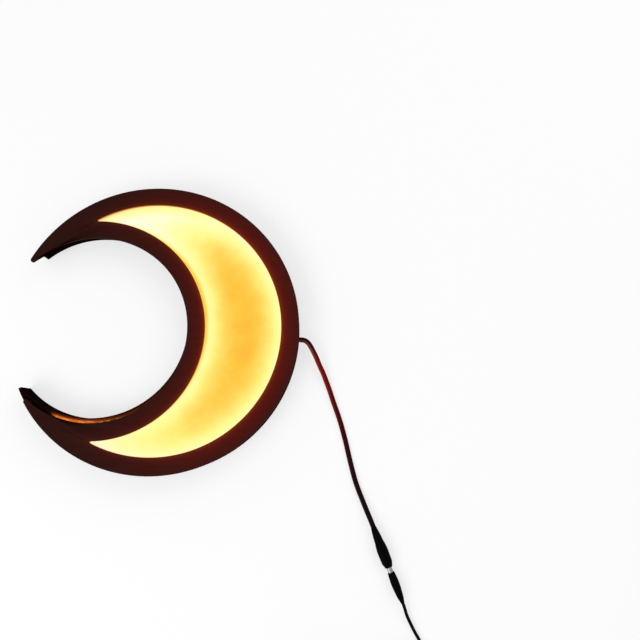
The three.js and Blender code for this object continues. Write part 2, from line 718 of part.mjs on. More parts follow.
// Supply cord, from the plug's tail to the coil, and from the coil to the supply.
{
  const plugEnd = connectors.position.clone().addScaledVector(connectorDirection, plugShoulder + plugLength);
  const coilStart = coilPath[0].clone().addScaledVector(headingIn, -endGap);
  const route = [
    plugEnd.clone().addScaledVector(connectorDirection, endGap),
    plugEnd.clone().addScaledVector(connectorDirection, endGap + cordDiameter),
    new THREE.Vector3(258.2, -296.8, 3.3),
    new THREE.Vector3(261.7, -304.7, 2.4),
    new THREE.Vector3(265.5, -312.6, 2.0),
    new THREE.Vector3(269.8, -320.4, 1.9),
    coilStart.clone().addScaledVector(headingIn, -cordDiameter),
    coilStart,
  ];
  add(box, 'supply_cord', tube(route, roundSection(cordRadius), 10), blackPlastic());
  const coilEnd = coilPath[coilPath.length - 1].clone().addScaledVector(headingOut, endGap);
  const inletX = adapterX + adapterLength / 2 + reliefLength + endGap;
  const endRoute = [
    coilEnd,
    coilEnd.clone().addScaledVector(headingOut, cordDiameter),
    new THREE.Vector3(inletX + cordDiameter, adapterY, reliefHeight),
    new THREE.Vector3(inletX, adapterY, reliefHeight),
  ];
  add(box, 'supply_cord_end', tube(endRoute, roundSection(cordRadius), 6), blackPlastic());
}

// Wire tie round the turns of the coil, with its ends twisted together on top.
{
  const widest = coilInner + coilTurnsPerLayer * turnPitch;
  const low = coilInner - cordRadius - tieClearance;
  const high = widest + cordRadius + tieClearance;
  const bottom = lowerLayer - cordRadius - tieClearance;
  const top = upperLayer + cordRadius + tieClearance;
  const loop = (grow) => {
    const corner = 1 + grow;
    const [x0, x1, z0, z1] = [low - grow, high + grow, bottom - grow, top + grow];
    return [
      ...arc(x1 - corner, z1 - corner, corner, 0, 90, 30),
      ...arc(x0 + corner, z1 - corner, corner, 90, 180, 30),
      ...arc(x0 + corner, z0 + corner, corner, 180, 270, 30),
      ...arc(x1 - corner, z0 + corner, corner, 270, 360, 30),
    ];
  };
  const band = prism(loop(tieThickness), -tieWidth / 2, tieWidth, loop(0).reverse()).rotateX(Math.PI / 2);
  const middle = (low + high) / 2;
  const twist = new THREE.CylinderGeometry(twistRadius, twistRadius * 0.8, twistLength, 8)
    .rotateZ(Math.PI / 2)
    .translate(middle + twistLength / 4, 0, top + tieThickness + twistRadius * 0.7);
  const tie = join(band, twist).rotateZ(tieAngle * degree).translate(coilX, coilY, 0);
  add(box, 'coil_tie', tie, colour(0.02, 0.02, 0.02, 0.5, 0));
}

// Plug-in supply: two shells, and what they hold.
function roundedRectangle(length, width, corner) {
  const x = length / 2 - corner;
  const y = width / 2 - corner;
  return [
    ...arc(x, y, corner, 0, 90, 22.5), ...arc(-x, y, corner, 90, 180, 22.5),
    ...arc(-x, -y, corner, 180, 270, 22.5), ...arc(x, -y, corner, 270, 360, 22.5),
  ];
}
{
  const outside = roundedRectangle(adapterLength, adapterWidth, adapterCorner);
  const hollowLength = adapterLength - 2 * adapterWall;
  const hollowWidth = adapterWidth - 2 * adapterWall;
  const inside = roundedRectangle(hollowLength, hollowWidth, adapterCorner - adapterWall);
  const wallEnd = adapterLength / 2;
  const reliefHole = level(reliefNeck + glueLine, 3 * adapterWall, 16).translate(wallEnd, 0, reliefHeight);
  const lower = cut(
    prism(outside, 0, adapterSeamHeight),
    prism(inside, adapterWall, adapterSeamHeight),
    reliefHole,
  );
  add(adapter, 'adapter_lower_shell', lower, blackPlastic());

  const bladeX = -adapterLength / 2 + bladeInset;
  const bladeSides = [-1, 1].map((side) => (side * bladeSpacing) / 2);
  const slots = bladeSides.map((y) => block(
    bladeX - bladeWidth / 2 - glueLine, bladeX + bladeWidth / 2 + glueLine,
    y - bladeThickness / 2 - glueLine, y + bladeThickness / 2 + glueLine,
    adapterHeight - 2 * adapterWall, adapterHeight + 1,
  ));
  const upperBottom = adapterSeamHeight + glueLine;
  const upper = cut(
    prism(outside, upperBottom, adapterHeight - upperBottom),
    prism(inside, upperBottom - 1, adapterHeight - adapterWall - upperBottom + 1),
    reliefHole,
    ...slots,
  );
  add(adapter, 'adapter_upper_shell', upper, blackPlastic());

  bladeSides.forEach((y, i) => {
    const half = bladeWidth / 2;
    const tip = adapterHeight + bladeLength;
    const side = [
      [-half, adapterHeight - bladeRoot], [half, adapterHeight - bladeRoot], [half, tip - 1.5],
      [half - 1.5, tip], [-half + 1.5, tip], [-half, tip - 1.5],
    ].map(([x, z]) => new THREE.Vector2(bladeX + x, z));
    const blade = prism(side, -y - bladeThickness / 2, bladeThickness).rotateX(Math.PI / 2);
    add(adapter, ['adapter_blade_left', 'adapter_blade_right'][i], blade, nickel());
  });

  const boardOutline = roundedRectangle(
    hollowLength - 2 * glueLine, hollowWidth - 2 * glueLine, adapterCorner - adapterWall,
  );
  const reliefSpace = block(
    hollowLength / 2 - reliefFlange - partsGap, adapterLength,
    -reliefRadius - partsGap, reliefRadius + partsGap,
    0, adapterHeight,
  );
  const board = cut(prism(boardOutline, boardHeight, boardThickness), reliefSpace);
  add(adapter, 'adapter_board', board, colour(0.05, 0.25, 0.1, 0.5, 0));
  const onBoard = boardHeight + boardThickness + solderGap;
  const transformerX = -hollowLength / 2 + 2 * (capacitorRadius + partsGap);
  const transformer = join(
    block(
      transformerX, transformerX + transformerLength, -transformerWidth / 2, transformerWidth / 2,
      onBoard, onBoard + transformerHeight * 0.85,
    ),
    block(
      transformerX + 3, transformerX + transformerLength - 3, -transformerWidth / 2 - 1.5,
      transformerWidth / 2 + 1.5, onBoard + 2, onBoard + transformerHeight,
    ),
  );
  add(adapter, 'adapter_transformer', transformer, colour(0.7, 0.55, 0.1, 0.6, 0));
  const inputX = transformerX - partsGap - capacitorRadius;
  const outputX = transformerX + transformerLength + partsGap + capacitorRadius;
  [['adapter_capacitor_input', inputX], ['adapter_capacitor_output', outputX]].forEach(([name, x]) => {
    const can = upright(capacitorRadius, capacitorHeight, 16);
    can.translate(x, capacitorRadius + partsGap, onBoard + capacitorHeight / 2);
    add(adapter, name, can, colour(0.03, 0.05, 0.2, 0.4, 0));
  });

  const relief = turned([
    [-adapterWall - reliefFlange, 0], [-adapterWall - reliefFlange, reliefRadius],
    [-adapterWall - glueLine, reliefRadius], [-adapterWall - glueLine, reliefNeck], [glueLine, reliefNeck],
    [glueLine, reliefRadius], [reliefFlange, reliefRadius], [reliefLength - 1, cordRadius * 1.35],
    [reliefLength, cordRadius * 1.25], [reliefLength, 0],
  ], 16);
  relief.translate(wallEnd, 0, reliefHeight);
  add(adapter, 'adapter_strain_relief', relief, blackPlastic());
}

// The origin: the middle of the light box's footprint, on the table. The cord and what is on it are left out.
const onCord = /^(lead|jack_|plug_|supply_|coil_|adapter_)/;
box.updateMatrixWorld(true);
const footprint = new THREE.Box3();
box.traverse((node) => {
  if (node.isMesh && !onCord.test(node.name)) footprint.expandByObject(node, true);
});
const middle = footprint.getCenter(new THREE.Vector3());
box.position.set(-middle.x, -middle.y, 0);

export default box;
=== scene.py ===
import json
import math

import bpy
from mathutils import Matrix, Vector


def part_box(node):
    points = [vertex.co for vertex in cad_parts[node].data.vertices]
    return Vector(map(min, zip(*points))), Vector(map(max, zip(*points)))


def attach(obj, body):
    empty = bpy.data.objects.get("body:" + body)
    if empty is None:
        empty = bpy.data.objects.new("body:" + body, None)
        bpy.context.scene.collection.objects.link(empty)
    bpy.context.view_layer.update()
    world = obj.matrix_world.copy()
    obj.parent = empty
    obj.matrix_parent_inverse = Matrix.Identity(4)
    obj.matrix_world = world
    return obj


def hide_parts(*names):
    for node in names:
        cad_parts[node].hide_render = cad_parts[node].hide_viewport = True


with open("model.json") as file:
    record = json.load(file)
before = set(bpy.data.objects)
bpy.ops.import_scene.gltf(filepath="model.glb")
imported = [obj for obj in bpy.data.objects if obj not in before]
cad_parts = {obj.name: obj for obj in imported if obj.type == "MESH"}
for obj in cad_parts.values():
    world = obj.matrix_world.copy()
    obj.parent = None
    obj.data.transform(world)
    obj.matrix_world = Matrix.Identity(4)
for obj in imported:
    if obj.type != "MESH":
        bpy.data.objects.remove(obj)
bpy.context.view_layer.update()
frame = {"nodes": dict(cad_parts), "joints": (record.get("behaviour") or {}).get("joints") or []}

# Camera. It looks down on the light box from above the lead's side, as the photograph does.
# Its place is measured on the table from the centre of the front plate's outer circle.
mm = 0.001
plate_radius = 152.5 * mm
ring_centre = Vector((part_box("front_plate")[1].x - plate_radius, 0, 0))
photo_width = 640
focal_pixels = 680
camera_place = Vector((167.1, -109.1, 734.3)) * mm
camera_turn = (9.221, -0.443, -0.943)
camera_data = bpy.data.cameras.new("camera")
camera_data.sensor_width = 36
camera_data.lens = camera_data.sensor_width * focal_pixels / photo_width
camera_data.clip_start = 0.02


def new_object(name, data):
    made = bpy.data.objects.new(name, data)
    bpy.context.collection.objects.link(made)
    return made


camera = new_object("camera", camera_data)
camera.location = ring_centre + camera_place
camera.rotation_euler = [math.radians(angle) for angle in camera_turn]
bpy.context.scene.camera = camera
bpy.context.scene.view_settings.view_transform = "Standard"

# Back panel: a crescent of thin raw fibreboard that closes the box from behind.
# It is sawn to fit between the bent strips, a little way in from their back edges, and glued there.
bite_radius = 98 * mm
horn_spread = 121.62 * mm
bite_offset = (math.sqrt(plate_radius**2 - (horn_spread / 2)**2)
               - math.sqrt(bite_radius**2 - (horn_spread / 2)**2))
case_turn = math.radians(-4.9)
plate_overhang = 0.3 * mm
strip_thickness = 3 * mm
glue_line = 0.3 * mm
case_radius = plate_radius - plate_overhang
case_bite = bite_radius + plate_overhang
inside_radius = case_radius - strip_thickness - glue_line
inside_bite = case_bite + strip_thickness + glue_line
panel_tip_rounding = 1.5 * mm
arc_points = 96
tip_points = 14


def arc(x, y, radius, start, end, count):
    """count + 1 points of an arc, from and to an angle in degrees."""
    angles = [math.radians(start + (end - start) * i / count) for i in range(count + 1)]
    return [(x + radius * math.cos(a), y + radius * math.sin(a)) for a in angles]


def crossing(outer, bite):
    """Where a circle about the plate's centre crosses one about the bite's centre, on the upper side."""
    x = (bite**2 - outer**2 - bite_offset**2) / (2 * bite_offset)
    return x, math.sqrt(outer**2 - x**2)


def angle_about(x, point):
    return math.degrees(math.atan2(point[1], point[0] - x))


def crescent_path(outer, bite, rounding, start, stop):
    """Anticlockwise round a crescent with rounded horns, from and to an angle on its outer arc."""
    horn = crossing(outer - rounding, bite + rounding)
    outer_end = angle_about(0, horn)
    bite_end = angle_about(-bite_offset, horn)
    return [
        *arc(0, 0, outer, start, outer_end, arc_points)[:-1],
        *arc(*horn, rounding, outer_end, bite_end + 180, tip_points)[:-1],
        *arc(-bite_offset, 0, bite, bite_end, -bite_end, arc_points)[:-1],
        *arc(horn[0], -horn[1], rounding, 180 - bite_end, 360 - outer_end, tip_points)[:-1],
        *arc(0, 0, outer, 360 - outer_end, stop + 360, arc_points),
    ]


def on_case(x, y, z):
    """A place on the case, which is glued on a few degrees round from the plate."""
    return ring_centre + Matrix.Rotation(case_turn, 3, "Z") @ Vector((x, y, z))


def on_plate(x, y, z):
    return ring_centre + Vector((x, y, z))


def new_piece(name, points, faces, *materials, crease):
    """A piece from its points and faces, smooth but for the edges sharper than crease, in degrees."""
    mesh = bpy.data.meshes.new(name)
    mesh.from_pydata([tuple(p) for p in points], [], faces)
    for material in materials:
        mesh.materials.append(material)
    mesh.polygons.foreach_set("use_smooth", [True] * len(mesh.polygons))
    mesh.set_sharp_from_angle(angle=math.radians(crease))
    return new_object(name, mesh)


def skin(rings, ends="flat"):
    """Points and faces of a closed skin over rings of points, each ring with as many.

    Its ends are flat faces, or rungs between the two halves of a ring, or one end joins the other.
    """
    count = len(rings[0])
    points = [p for ring in rings for p in ring]
    last = len(points) - count
    faces = []
    for i in range(len(rings) - (ends != "joined")):
        for k in range(count):
            a, b = i * count + k, i * count + (k + 1) % count
            c, d = (b + count) % len(points), (a + count) % len(points)
            faces.append((a, b, c, d))
    if ends == "flat":
        faces += [tuple(reversed(range(count))), tuple(range(last, last + count))]
    if ends == "rungs":
        for k in range(count // 2 - 1):
            rung = (k, k + 1, count - 2 - k, count - 1 - k)
            faces += [tuple(reversed(rung)), tuple(last + corner for corner in rung)]
    return points, faces


def eased_levels(bottom, top, low, high=None, steps=2):
    """(inset, height) pairs up a side, whose edges are eased with quarter rounds low and high."""
    high = low if high is None else high
    turns = [math.pi / 2 * i / steps for i in range(steps + 1)]
    return ([(low * (1 - math.sin(a)), bottom + low * (1 - math.cos(a))) for a in turns]
            + [(high * (1 - math.sin(a)), top - high * (1 - math.cos(a))) for a in reversed(turns)])


def crescent_rings(put, outer, bite, rounding, levels, inwards=1):
    """A crescent's outline at each (inset, height) level, put on the case or on the plate."""
    return [[put(x, y, z) for x, y in crescent_path(
        outer - inwards * inset, bite + inwards * inset, rounding - inwards * inset, 0, 0)[:-1]]
        for inset, z in levels]


def heights(node):
    return [corner.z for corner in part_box(node)]


def settle(piece, body, slot, *nodes):
    """The piece rides on a body and stands for CAD nodes, which are hidden. The slot is not used."""
    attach(piece, body)
    if nodes:
        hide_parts(*nodes)
    return piece


def set_inputs(tree, node, **inputs):
    """Inputs by name, or by number after a low line, given as values or as sockets to link from."""
    for key, value in inputs.items():
        socket = node.inputs[int(key[1:])] if key[0] == "_" else node.inputs[key.replace("_", " ")]
        if isinstance(value, bpy.types.NodeSocket):
            tree.links.new(value, socket)
        else:
            socket.default_value = value


def add_node(tree, kind, settings=None, **inputs):
    made = tree.nodes.new(kind)
    for key, value in (settings or {}).items():
        setattr(made, key, value)
    set_inputs(tree, made, **inputs)
    return made


def calc(tree, operation, *values):
    """A Math node's result. A value may be a sum of its own, as (operation, value, ...)."""
    inputs = {f"_{i}": calc(tree, *value) if isinstance(value, tuple) else value
              for i, value in enumerate(values)}
    return add_node(tree, "ShaderNodeMath", {"operation": operation}, **inputs).outputs[0]


def vector_calc(tree, operation, *values):
    inputs = {f"_{i}": value for i, value in enumerate(values)}
    made = add_node(tree, "ShaderNodeVectorMath", {"operation": operation}, **inputs)
    return made.outputs["Value" if operation in ("DISTANCE", "DOT_PRODUCT") else "Vector"]


def axis_of(tree, vector, axis):
    return add_node(tree, "ShaderNodeSeparateXYZ", Vector=vector).outputs[axis]


def smooth_step(tree, value, start, end, low=0.0, high=1.0):
    return add_node(tree, "ShaderNodeMapRange", {"interpolation_type": "SMOOTHSTEP"},
                    _0=value, _1=start, _2=end, _3=low, _4=high).outputs[0]


def srgb(red, green, blue):
    """A colour as a screen shows it, from 0 to 255, as the light values that a shader takes."""
    return tuple(c / 12.92 if c <= 0.04045 else ((c + 0.055) / 1.055)**2.4
                 for c in (red / 255, green / 255, blue / 255)) + (1,)


def as_light(colour):
    """A colour of three numbers is as a screen shows it, and one of four is already as a shader takes it."""
    return srgb(*colour) if isinstance(colour, tuple) and len(colour) == 3 else colour


def ramp(tree, value, *stops):
    """A colour that changes with a value, from stops of (value, colour)."""
    made = add_node(tree, "ShaderNodeValToRGB", Fac=value)
    elements = made.color_ramp.elements
    while len(elements) < len(stops):
        elements.new(0.5)
    for element, (place, colour) in zip(elements, stops):
        element.position = place
        element.color = as_light(colour)
    return made.outputs["Color"]


def mix_colours(tree, factor, first, second, blend="MIX"):
    return add_node(tree, "ShaderNodeMix", {"data_type": "RGBA", "blend_type": blend},
                    _0=factor, _6=as_light(first), _7=as_light(second)).outputs[2]


def noise(tree, place, scale, detail=2.0, roughness=0.5):
    return add_node(tree, "ShaderNodeTexNoise", Vector=place, Scale=scale, Detail=detail,
                    Roughness=roughness).outputs["Fac"]


def mottle(tree, place, scale, dark, light, detail=2.0):
    return ramp(tree, noise(tree, place, scale, detail), (0.3, dark), (0.7, light))


def new_finish(name, roughness, specular, metallic=0.0):
    """A material, its tree, its shader and the place of each point on the object."""
    material = bpy.data.materials.new(name)
    material.use_nodes = True
    tree = material.node_tree
    shader = tree.nodes["Principled BSDF"]
    set_inputs(tree, shader, Roughness=roughness, Specular_IOR_Level=specular, Metallic=metallic,
               Emission_Strength=0.0)
    return material, tree, shader, add_node(tree, "ShaderNodeTexCoord").outputs["Object"]


def bump(tree, height, strength, distance):
    return add_node(tree, "ShaderNodeBump", Strength=strength, Distance=distance,
                    Height=height).outputs["Normal"]


def new_group(name, vectors, values, results):
    """An empty shader group, what it is given and the node that takes its results."""
    group = bpy.data.node_groups.new(name, "ShaderNodeTree")
    for names, side, kind in ((vectors, "INPUT", "Vector"), (values, "INPUT", "Float"),
                              (results, "OUTPUT", "Float")):
        for socket in names.split():
            group.interface.new_socket(socket, in_out=side, socket_type=f"NodeSocket{kind}")
    return group, group.nodes.new("NodeGroupInput").outputs, group.nodes.new("NodeGroupOutput")


def use_group(tree, group, **inputs):
    return add_node(tree, "ShaderNodeGroup", {"node_tree": group}, **inputs).outputs


# Pressed wood fibres: a soft mottle, and short fibres that catch the light.
board_fibre, given, result = new_group("board_fibre", "Place", "", "Mottle Fibres")
stretched = vector_calc(board_fibre, "MULTIPLY", given["Place"], (500.0, 1600.0, 900.0))
set_inputs(board_fibre, result, Mottle=noise(board_fibre, given["Place"], 90.0, 4.0, 0.6),
           Fibres=noise(board_fibre, stretched, 1.0, 4.0))

raw_board, tree, shader, place = new_finish("raw_fibreboard", 0.85, 0.2)
fibre = use_group(tree, board_fibre, Place=place)
tone = ramp(tree, fibre["Mottle"], (0.3, (132, 98, 66)), (0.7, (160, 122, 84)))
set_inputs(tree, shader, Normal=bump(tree, fibre["Fibres"], 0.4, 0.00006), Base_Color=mix_colours(
    tree, smooth_step(tree, fibre["Fibres"], 0.45, 0.8, 0.0, 0.35), tone, (92, 62, 38)))

board_edge = 0.25 * mm


def board_between_strips(name, node, slot, edge, material):
    """A level crescent board inside the strips, as thick as a CAD node, with its edges eased."""
    rings = crescent_rings(on_case, inside_radius, inside_bite, panel_tip_rounding,
                           eased_levels(*heights(node), edge))
    settle(new_piece(name, *skin(rings), material, crease=12), "box", slot, node)


board_between_strips("panel_board", "back_panel", "back_board", board_edge, raw_board)

# Reflector sheet: pale coated card, cut like the panel and glued on it. The lamps on the walls light it
# from all round, so it is brightest along the walls and in the horns, and amber in its wide middle.
# This light is painted on the sheet as an emission colour.
studio_level = 0.9
chamber_level = 0.5
paper = srgb(150, 118, 58)
lamp_height = 9.0
middle_level = 6.4e-4
bite_row_share = 0.88
inside_top = heights("front_plate")[0]
sheet_top = heights("reflector_sheet")[1]
sheet_edge = 0.12 * mm
bite_centre = on_case(-bite_offset, 0, 0)
case_right = on_case(1, 0, 0) - ring_centre
horn_blocks_from = -96 * mm
lamp_reach, given, result = new_group("lamp_reach", "Place", "", "Level Shade Wall Inside")


def from_upright(tree, place, centre):
    """The level distance of a place from an upright line."""
    flat = vector_calc(tree, "MULTIPLY", place, (1.0, 1.0, 0.0))
    return vector_calc(tree, "DISTANCE", flat, tuple(centre))


def lamp_row(distance):
    """How much a row of lamps lights a level sheet at a distance, in millimetres, from its wall."""
    square = ("ADD", ("POWER", distance, 2.0), lamp_height**2)
    return calc(lamp_reach, "DIVIDE", distance, ("POWER", square, 1.5))


to_ring, to_bite = (("DIVIDE", from_upright(lamp_reach, given["Place"], centre), mm)
                    for centre in (ring_centre, bite_centre))
from_outer = calc(lamp_reach, "SUBTRACT", inside_radius / mm, to_ring)
from_bite = calc(lamp_reach, "SUBTRACT", to_bite, inside_bite / mm)
outer_row, bite_row = (lamp_row(calc(lamp_reach, "MAXIMUM", side, 0.0)) for side in (from_outer, from_bite))
both_rows = calc(lamp_reach, "MULTIPLY_ADD", bite_row, bite_row_share, outer_row)
doublings = calc(lamp_reach, "LOGARITHM", ("DIVIDE", both_rows, middle_level), 2.0)
x, y, z = (axis_of(lamp_reach, given["Place"], axis) for axis in "XYZ")
towards_horn = calc(lamp_reach, "MULTIPLY_ADD", x, -0.5, y)
# The painted light level: brighter in the upper horn, with painted shade near the outer wall there and near
# the bite wall.
upper_horn = smooth_step(lamp_reach, towards_horn, 0.045, 0.14, 0.25, 0.5)
outer_wall_shade = smooth_step(lamp_reach, from_outer, 10.0, 24.0, -2.0, 0.0)
bite_wall_shade = smooth_step(lamp_reach, from_bite, 12.0, 18.0, -0.5, 0.0)
from_wall = calc(lamp_reach, "MINIMUM", from_outer, from_bite)
between = ("GREATER_THAN", from_wall, -0.35)
above = ("GREATER_THAN", z, sheet_top - 0.2 * mm)
below = ("LESS_THAN", z, inside_top + 0.05 * mm)
from_centre = vector_calc(lamp_reach, "SUBTRACT", given["Place"], tuple(ring_centre))
along_case = vector_calc(lamp_reach, "DOT_PRODUCT", from_centre, tuple(case_right))
before_blocks = ("GREATER_THAN", along_case, horn_blocks_from)
set_inputs(lamp_reach, result, Wall=from_wall,
           Level=calc(lamp_reach, "ADD", ("MULTIPLY", doublings, 0.25), upper_horn),
           Shade=calc(lamp_reach, "ADD", ("MULTIPLY", ("SUBTRACT", upper_horn, 0.25), outer_wall_shade), bite_wall_shade),
           Inside=calc(lamp_reach, "MULTIPLY", ("MULTIPLY", between, before_blocks),
                       ("MULTIPLY", above, below)))


def lamp_light(seen, own=(0, 0, 0, 1), level=studio_level):
    """The light that a place gives off for it to be seen in a colour, past what it reflects."""
    return tuple(max(0.0, s - level * o) for s, o in zip(seen[:3], own)) + (1,)


def facing_up(tree):
    """How far a surface faces up, from 1 to -1."""
    return axis_of(tree, add_node(tree, "ShaderNodeNewGeometry").outputs["Normal"], "Z")


def faces_up(tree):
    return calc(tree, "GREATER_THAN", facing_up(tree), 0.5)


def step_along(tree, place, axis, start, end, low=0.0, high=1.0):
    """A change along X or Z, between millimetres from the plate's centre or its underside."""
    origin = ring_centre.x if axis == "X" else inside_top
    return smooth_step(tree, axis_of(tree, place, axis), origin + start * mm, origin + end * mm, low, high)


def give_light(tree, shader, colour, mask):
    set_inputs(tree, shader, Emission_Strength=1.0,
               Emission_Color=mix_colours(tree, mask, (0, 0, 0), colour))


# Lint and grains that settled on a surface.
dust_specks, given, result = new_group("dust_specks", "Place", "Scale", "Specks")
cells = add_node(dust_specks, "ShaderNodeTexVoronoi", Vector=given["Place"], Scale=given["Scale"])
draw = add_node(dust_specks, "ShaderNodeSeparateColor", Color=cells.outputs["Color"]).outputs[0]
speck = smooth_step(dust_specks, cells.outputs["Distance"], 0.028, 0.045, 1.0, 0.0)
set_inputs(dust_specks, result, Specks=calc(dust_specks, "MULTIPLY", ("GREATER_THAN", draw, 0.72), speck))

lit_card, tree, shader, place = new_finish("lit_card", 0.6, 0.15)
reach = use_group(tree, lamp_reach, Place=place)
patches = calc(tree, "MULTIPLY_ADD", noise(tree, place, 40.0, 4.0, 0.6), 0.22, -0.11)
level = calc(tree, "ADD", ("ADD", reach["Level"], reach["Shade"]), patches)
light = ramp(tree, level, *((stop, lamp_light(srgb(*seen), paper, chamber_level)) for stop, seen in (
    (0.0, (214, 112, 22)), (0.25, (255, 189, 54)), (0.34, (255, 206, 82)), (0.45, (255, 227, 112)),
    (0.57, (255, 246, 143)), (0.74, (255, 255, 172)), (1.0, (255, 255, 222)))))
# Painted shade at the foot of the walls, under the tape: orange at the lower horn, darker further on. Nearer
# the walls the painted light also turns orange.
painted_foot_shade = mix_colours(tree, step_along(tree, place, "X", -66, -42),
                      lamp_light(srgb(230, 130, 50), paper), lamp_light(srgb(120, 46, 14), paper))
light = mix_colours(tree, smooth_step(tree, reach["Wall"], 2.0, 12.0),
                    lamp_light(srgb(248, 150, 60), paper), light)
light = mix_colours(tree, smooth_step(tree, reach["Wall"], 1.5, 3.5), painted_foot_shade, light)
specks = use_group(tree, dust_specks, Place=place, Scale=34.0)["Specks"]
dulled = mix_colours(tree, calc(tree, "MULTIPLY", specks, 0.6), light, (120, 70, 20))
give_light(tree, shader, dulled, faces_up(tree))
fibre = use_group(tree, board_fibre, Place=place)
set_inputs(tree, shader, Normal=bump(tree, fibre["Mottle"], 0.3, 0.00005),
           Base_Color=ramp(tree, fibre["Mottle"], (0.3, (146, 114, 54)), (0.7, (154, 122, 62))))
board_between_strips("lit_sheet", "reflector_sheet", "reflector", sheet_edge, lit_card)

# Outer strips: two thin strips of wood, stained, bent round the panel and butted where the lead comes out.
# The hole for the lead is drilled through the joint, half of it in each strip.
def put_out_grain(group, place, result):
    """The long figure and the pores of wood whose grain runs along X."""
    figure = noise(group, vector_calc(group, "MULTIPLY", place, (16.0, 330.0, 330.0)), 1.0, 5.0, 0.62)
    pores = noise(group, vector_calc(group, "MULTIPLY", place, (110.0, 3000.0, 3000.0)), 1.0, 2.0)
    set_inputs(group, result, Figure=figure, Pores=smooth_step(group, pores, 0.58, 0.72))


wood_grain, given, result = new_group("wood_grain", "Place", "", "Figure Pores")
put_out_grain(wood_grain, given["Place"], result)

# The grain of a bent strip follows its bend.
bent_grain, given, result = new_group("bent_grain", "Place Centre", "", "Figure Pores")
from_bend = vector_calc(bent_grain, "SUBTRACT", given["Place"], given["Centre"])
x, y, z = (axis_of(bent_grain, from_bend, axis) for axis in "XYZ")
unrolled = add_node(bent_grain, "ShaderNodeCombineXYZ", Y=z,
                    X=calc(bent_grain, "MULTIPLY", ("ARCTAN2", y, x), case_radius),
                    Z=calc(bent_grain, "SQRT", ("ADD", ("POWER", x, 2.0), ("POWER", y, 2.0))))
put_out_grain(bent_grain, unrolled.outputs["Vector"], result)


def stained_wood(name, dark, light, specular, centre=None):
    """Stained wood whose grain runs along X, or round a centre."""
    material, tree, shader, place = new_finish(name, 0.55, specular)
    if centre is None:
        grain = use_group(tree, wood_grain, Place=place)
    else:
        grain = use_group(tree, bent_grain, Place=place, Centre=tuple(centre))
    stained = ramp(tree, grain["Figure"], (0.25, dark), (0.75, light))
    pored = mix_colours(tree, calc(tree, "MULTIPLY", grain["Pores"], 0.5), stained, (12, 6, 5))
    relief = calc(tree, "MULTIPLY_ADD", grain["Pores"], -0.8, grain["Figure"])
    set_inputs(tree, shader, Base_Color=pored, Normal=bump(tree, relief, 0.35, 0.00008),
               Roughness=smooth_step(tree, grain["Figure"], 0.3, 0.7, 0.62, 0.5))
    return material, tree, shader, place


def top_light(tree, place):
    """The lamps' light on the tops by the walls. The plate leaves them in view at the lower horn only."""
    share = add_node(tree, "ShaderNodeMapRange", _0=axis_of(tree, place, "X"),
                     _1=ring_centre.x - 100 * mm, _2=ring_centre.x - 30 * mm).outputs[0]
    return ramp(tree, share, (0.0, (226, 130, 52)), (0.35, (230, 130, 50)), (0.6, (158, 68, 17)),
                (0.8, (104, 36, 14)), (1.0, (60, 20, 10)))


def light_inside(tree, shader, place, near=(238, 150, 60), far=(196, 96, 24), top=None, top_share=None):
    """The lamps' glow on what stands in the light chamber, brighter where the chamber is narrow.

    The glow is painted as an emission colour: all of it at the lamps' height and little just under the
    plate.
    What faces up gets the painted light on the tops, unless it is given another glow and a share of it.
    """
    reach = use_group(tree, lamp_reach, Place=place)
    if top is None:
        top, top_share = top_light(tree, place), reach["Inside"]
    up = faces_up(tree)
    glow = mix_colours(tree, up, ramp(tree, reach["Level"], (0.1, far), (0.8, near)), top)
    side_share = step_along(tree, place, "Z", -14, -2, 1.0, 0.03)
    give_light(tree, shader, glow, calc(tree, "MAXIMUM", ("MULTIPLY", up, top_share),
                                        ("MULTIPLY", reach["Inside"], side_share)))


strip_dark, strip_light = (14, 7, 6), (30, 14, 10)
strip_gloss = 0.0
outer_strip_wood, tree, shader, place = stained_wood(
    "outer_strip_wood", strip_dark, strip_light, strip_gloss, ring_centre)
light_inside(tree, shader, place)
strip_edge = 0.3 * mm
strip_top = inside_top - 0.02 * mm
exit_height = 12 * mm
exit_hole_radius = 3.2 * mm
half_joint = glue_line / 2 / case_radius


def bent_strip(name, centre_x, inner, outer, extra_heights, ends, columns, *materials):
    """A strip on edge bent round a centre. ends(radius, height) gives its two end angles in radians."""
    eased = eased_levels(0, strip_top, strip_edge)
    side = sorted([(z, inset) for inset, z in eased] + [(z, 0) for z in extra_heights])
    section = [(inner + inset, z) for z, inset in side] + [(outer - inset, z) for z, inset in reversed(side)]
    rings = []
    for i in range(columns + 1):
        ring = []
        for radius, z in section:
            start, stop = ends(radius, z)
            angle = start + (stop - start) * i / columns
            ring.append(on_case(centre_x + radius * math.cos(angle), radius * math.sin(angle), z))
        rings.append(ring)
    return new_piece(name, *skin(rings, "rungs"), *materials, crease=25)


outer_strip_end = math.radians(angle_about(0, crossing(inside_radius, case_bite)))
hole_heights = [exit_height + exit_hole_radius * math.sin(math.radians(a)) for a in range(-90, 91, 15)]


def joint_angle(height):
    hole = math.sqrt(max(0, exit_hole_radius**2 - (height - exit_height)**2))
    return max(half_joint, hole / case_radius)


for name, node, ends in (
    ("upper_strip", "outer_wall_upper", lambda radius, z: (joint_angle(z), outer_strip_end)),
    ("lower_strip", "outer_wall_lower", lambda radius, z: (-outer_strip_end, -joint_angle(z))),
):
    strip = bent_strip(name, 0, case_radius - strip_thickness, case_radius, hole_heights, ends, 130,
                       outer_strip_wood)
    settle(strip, "box", "stained_strip", node)
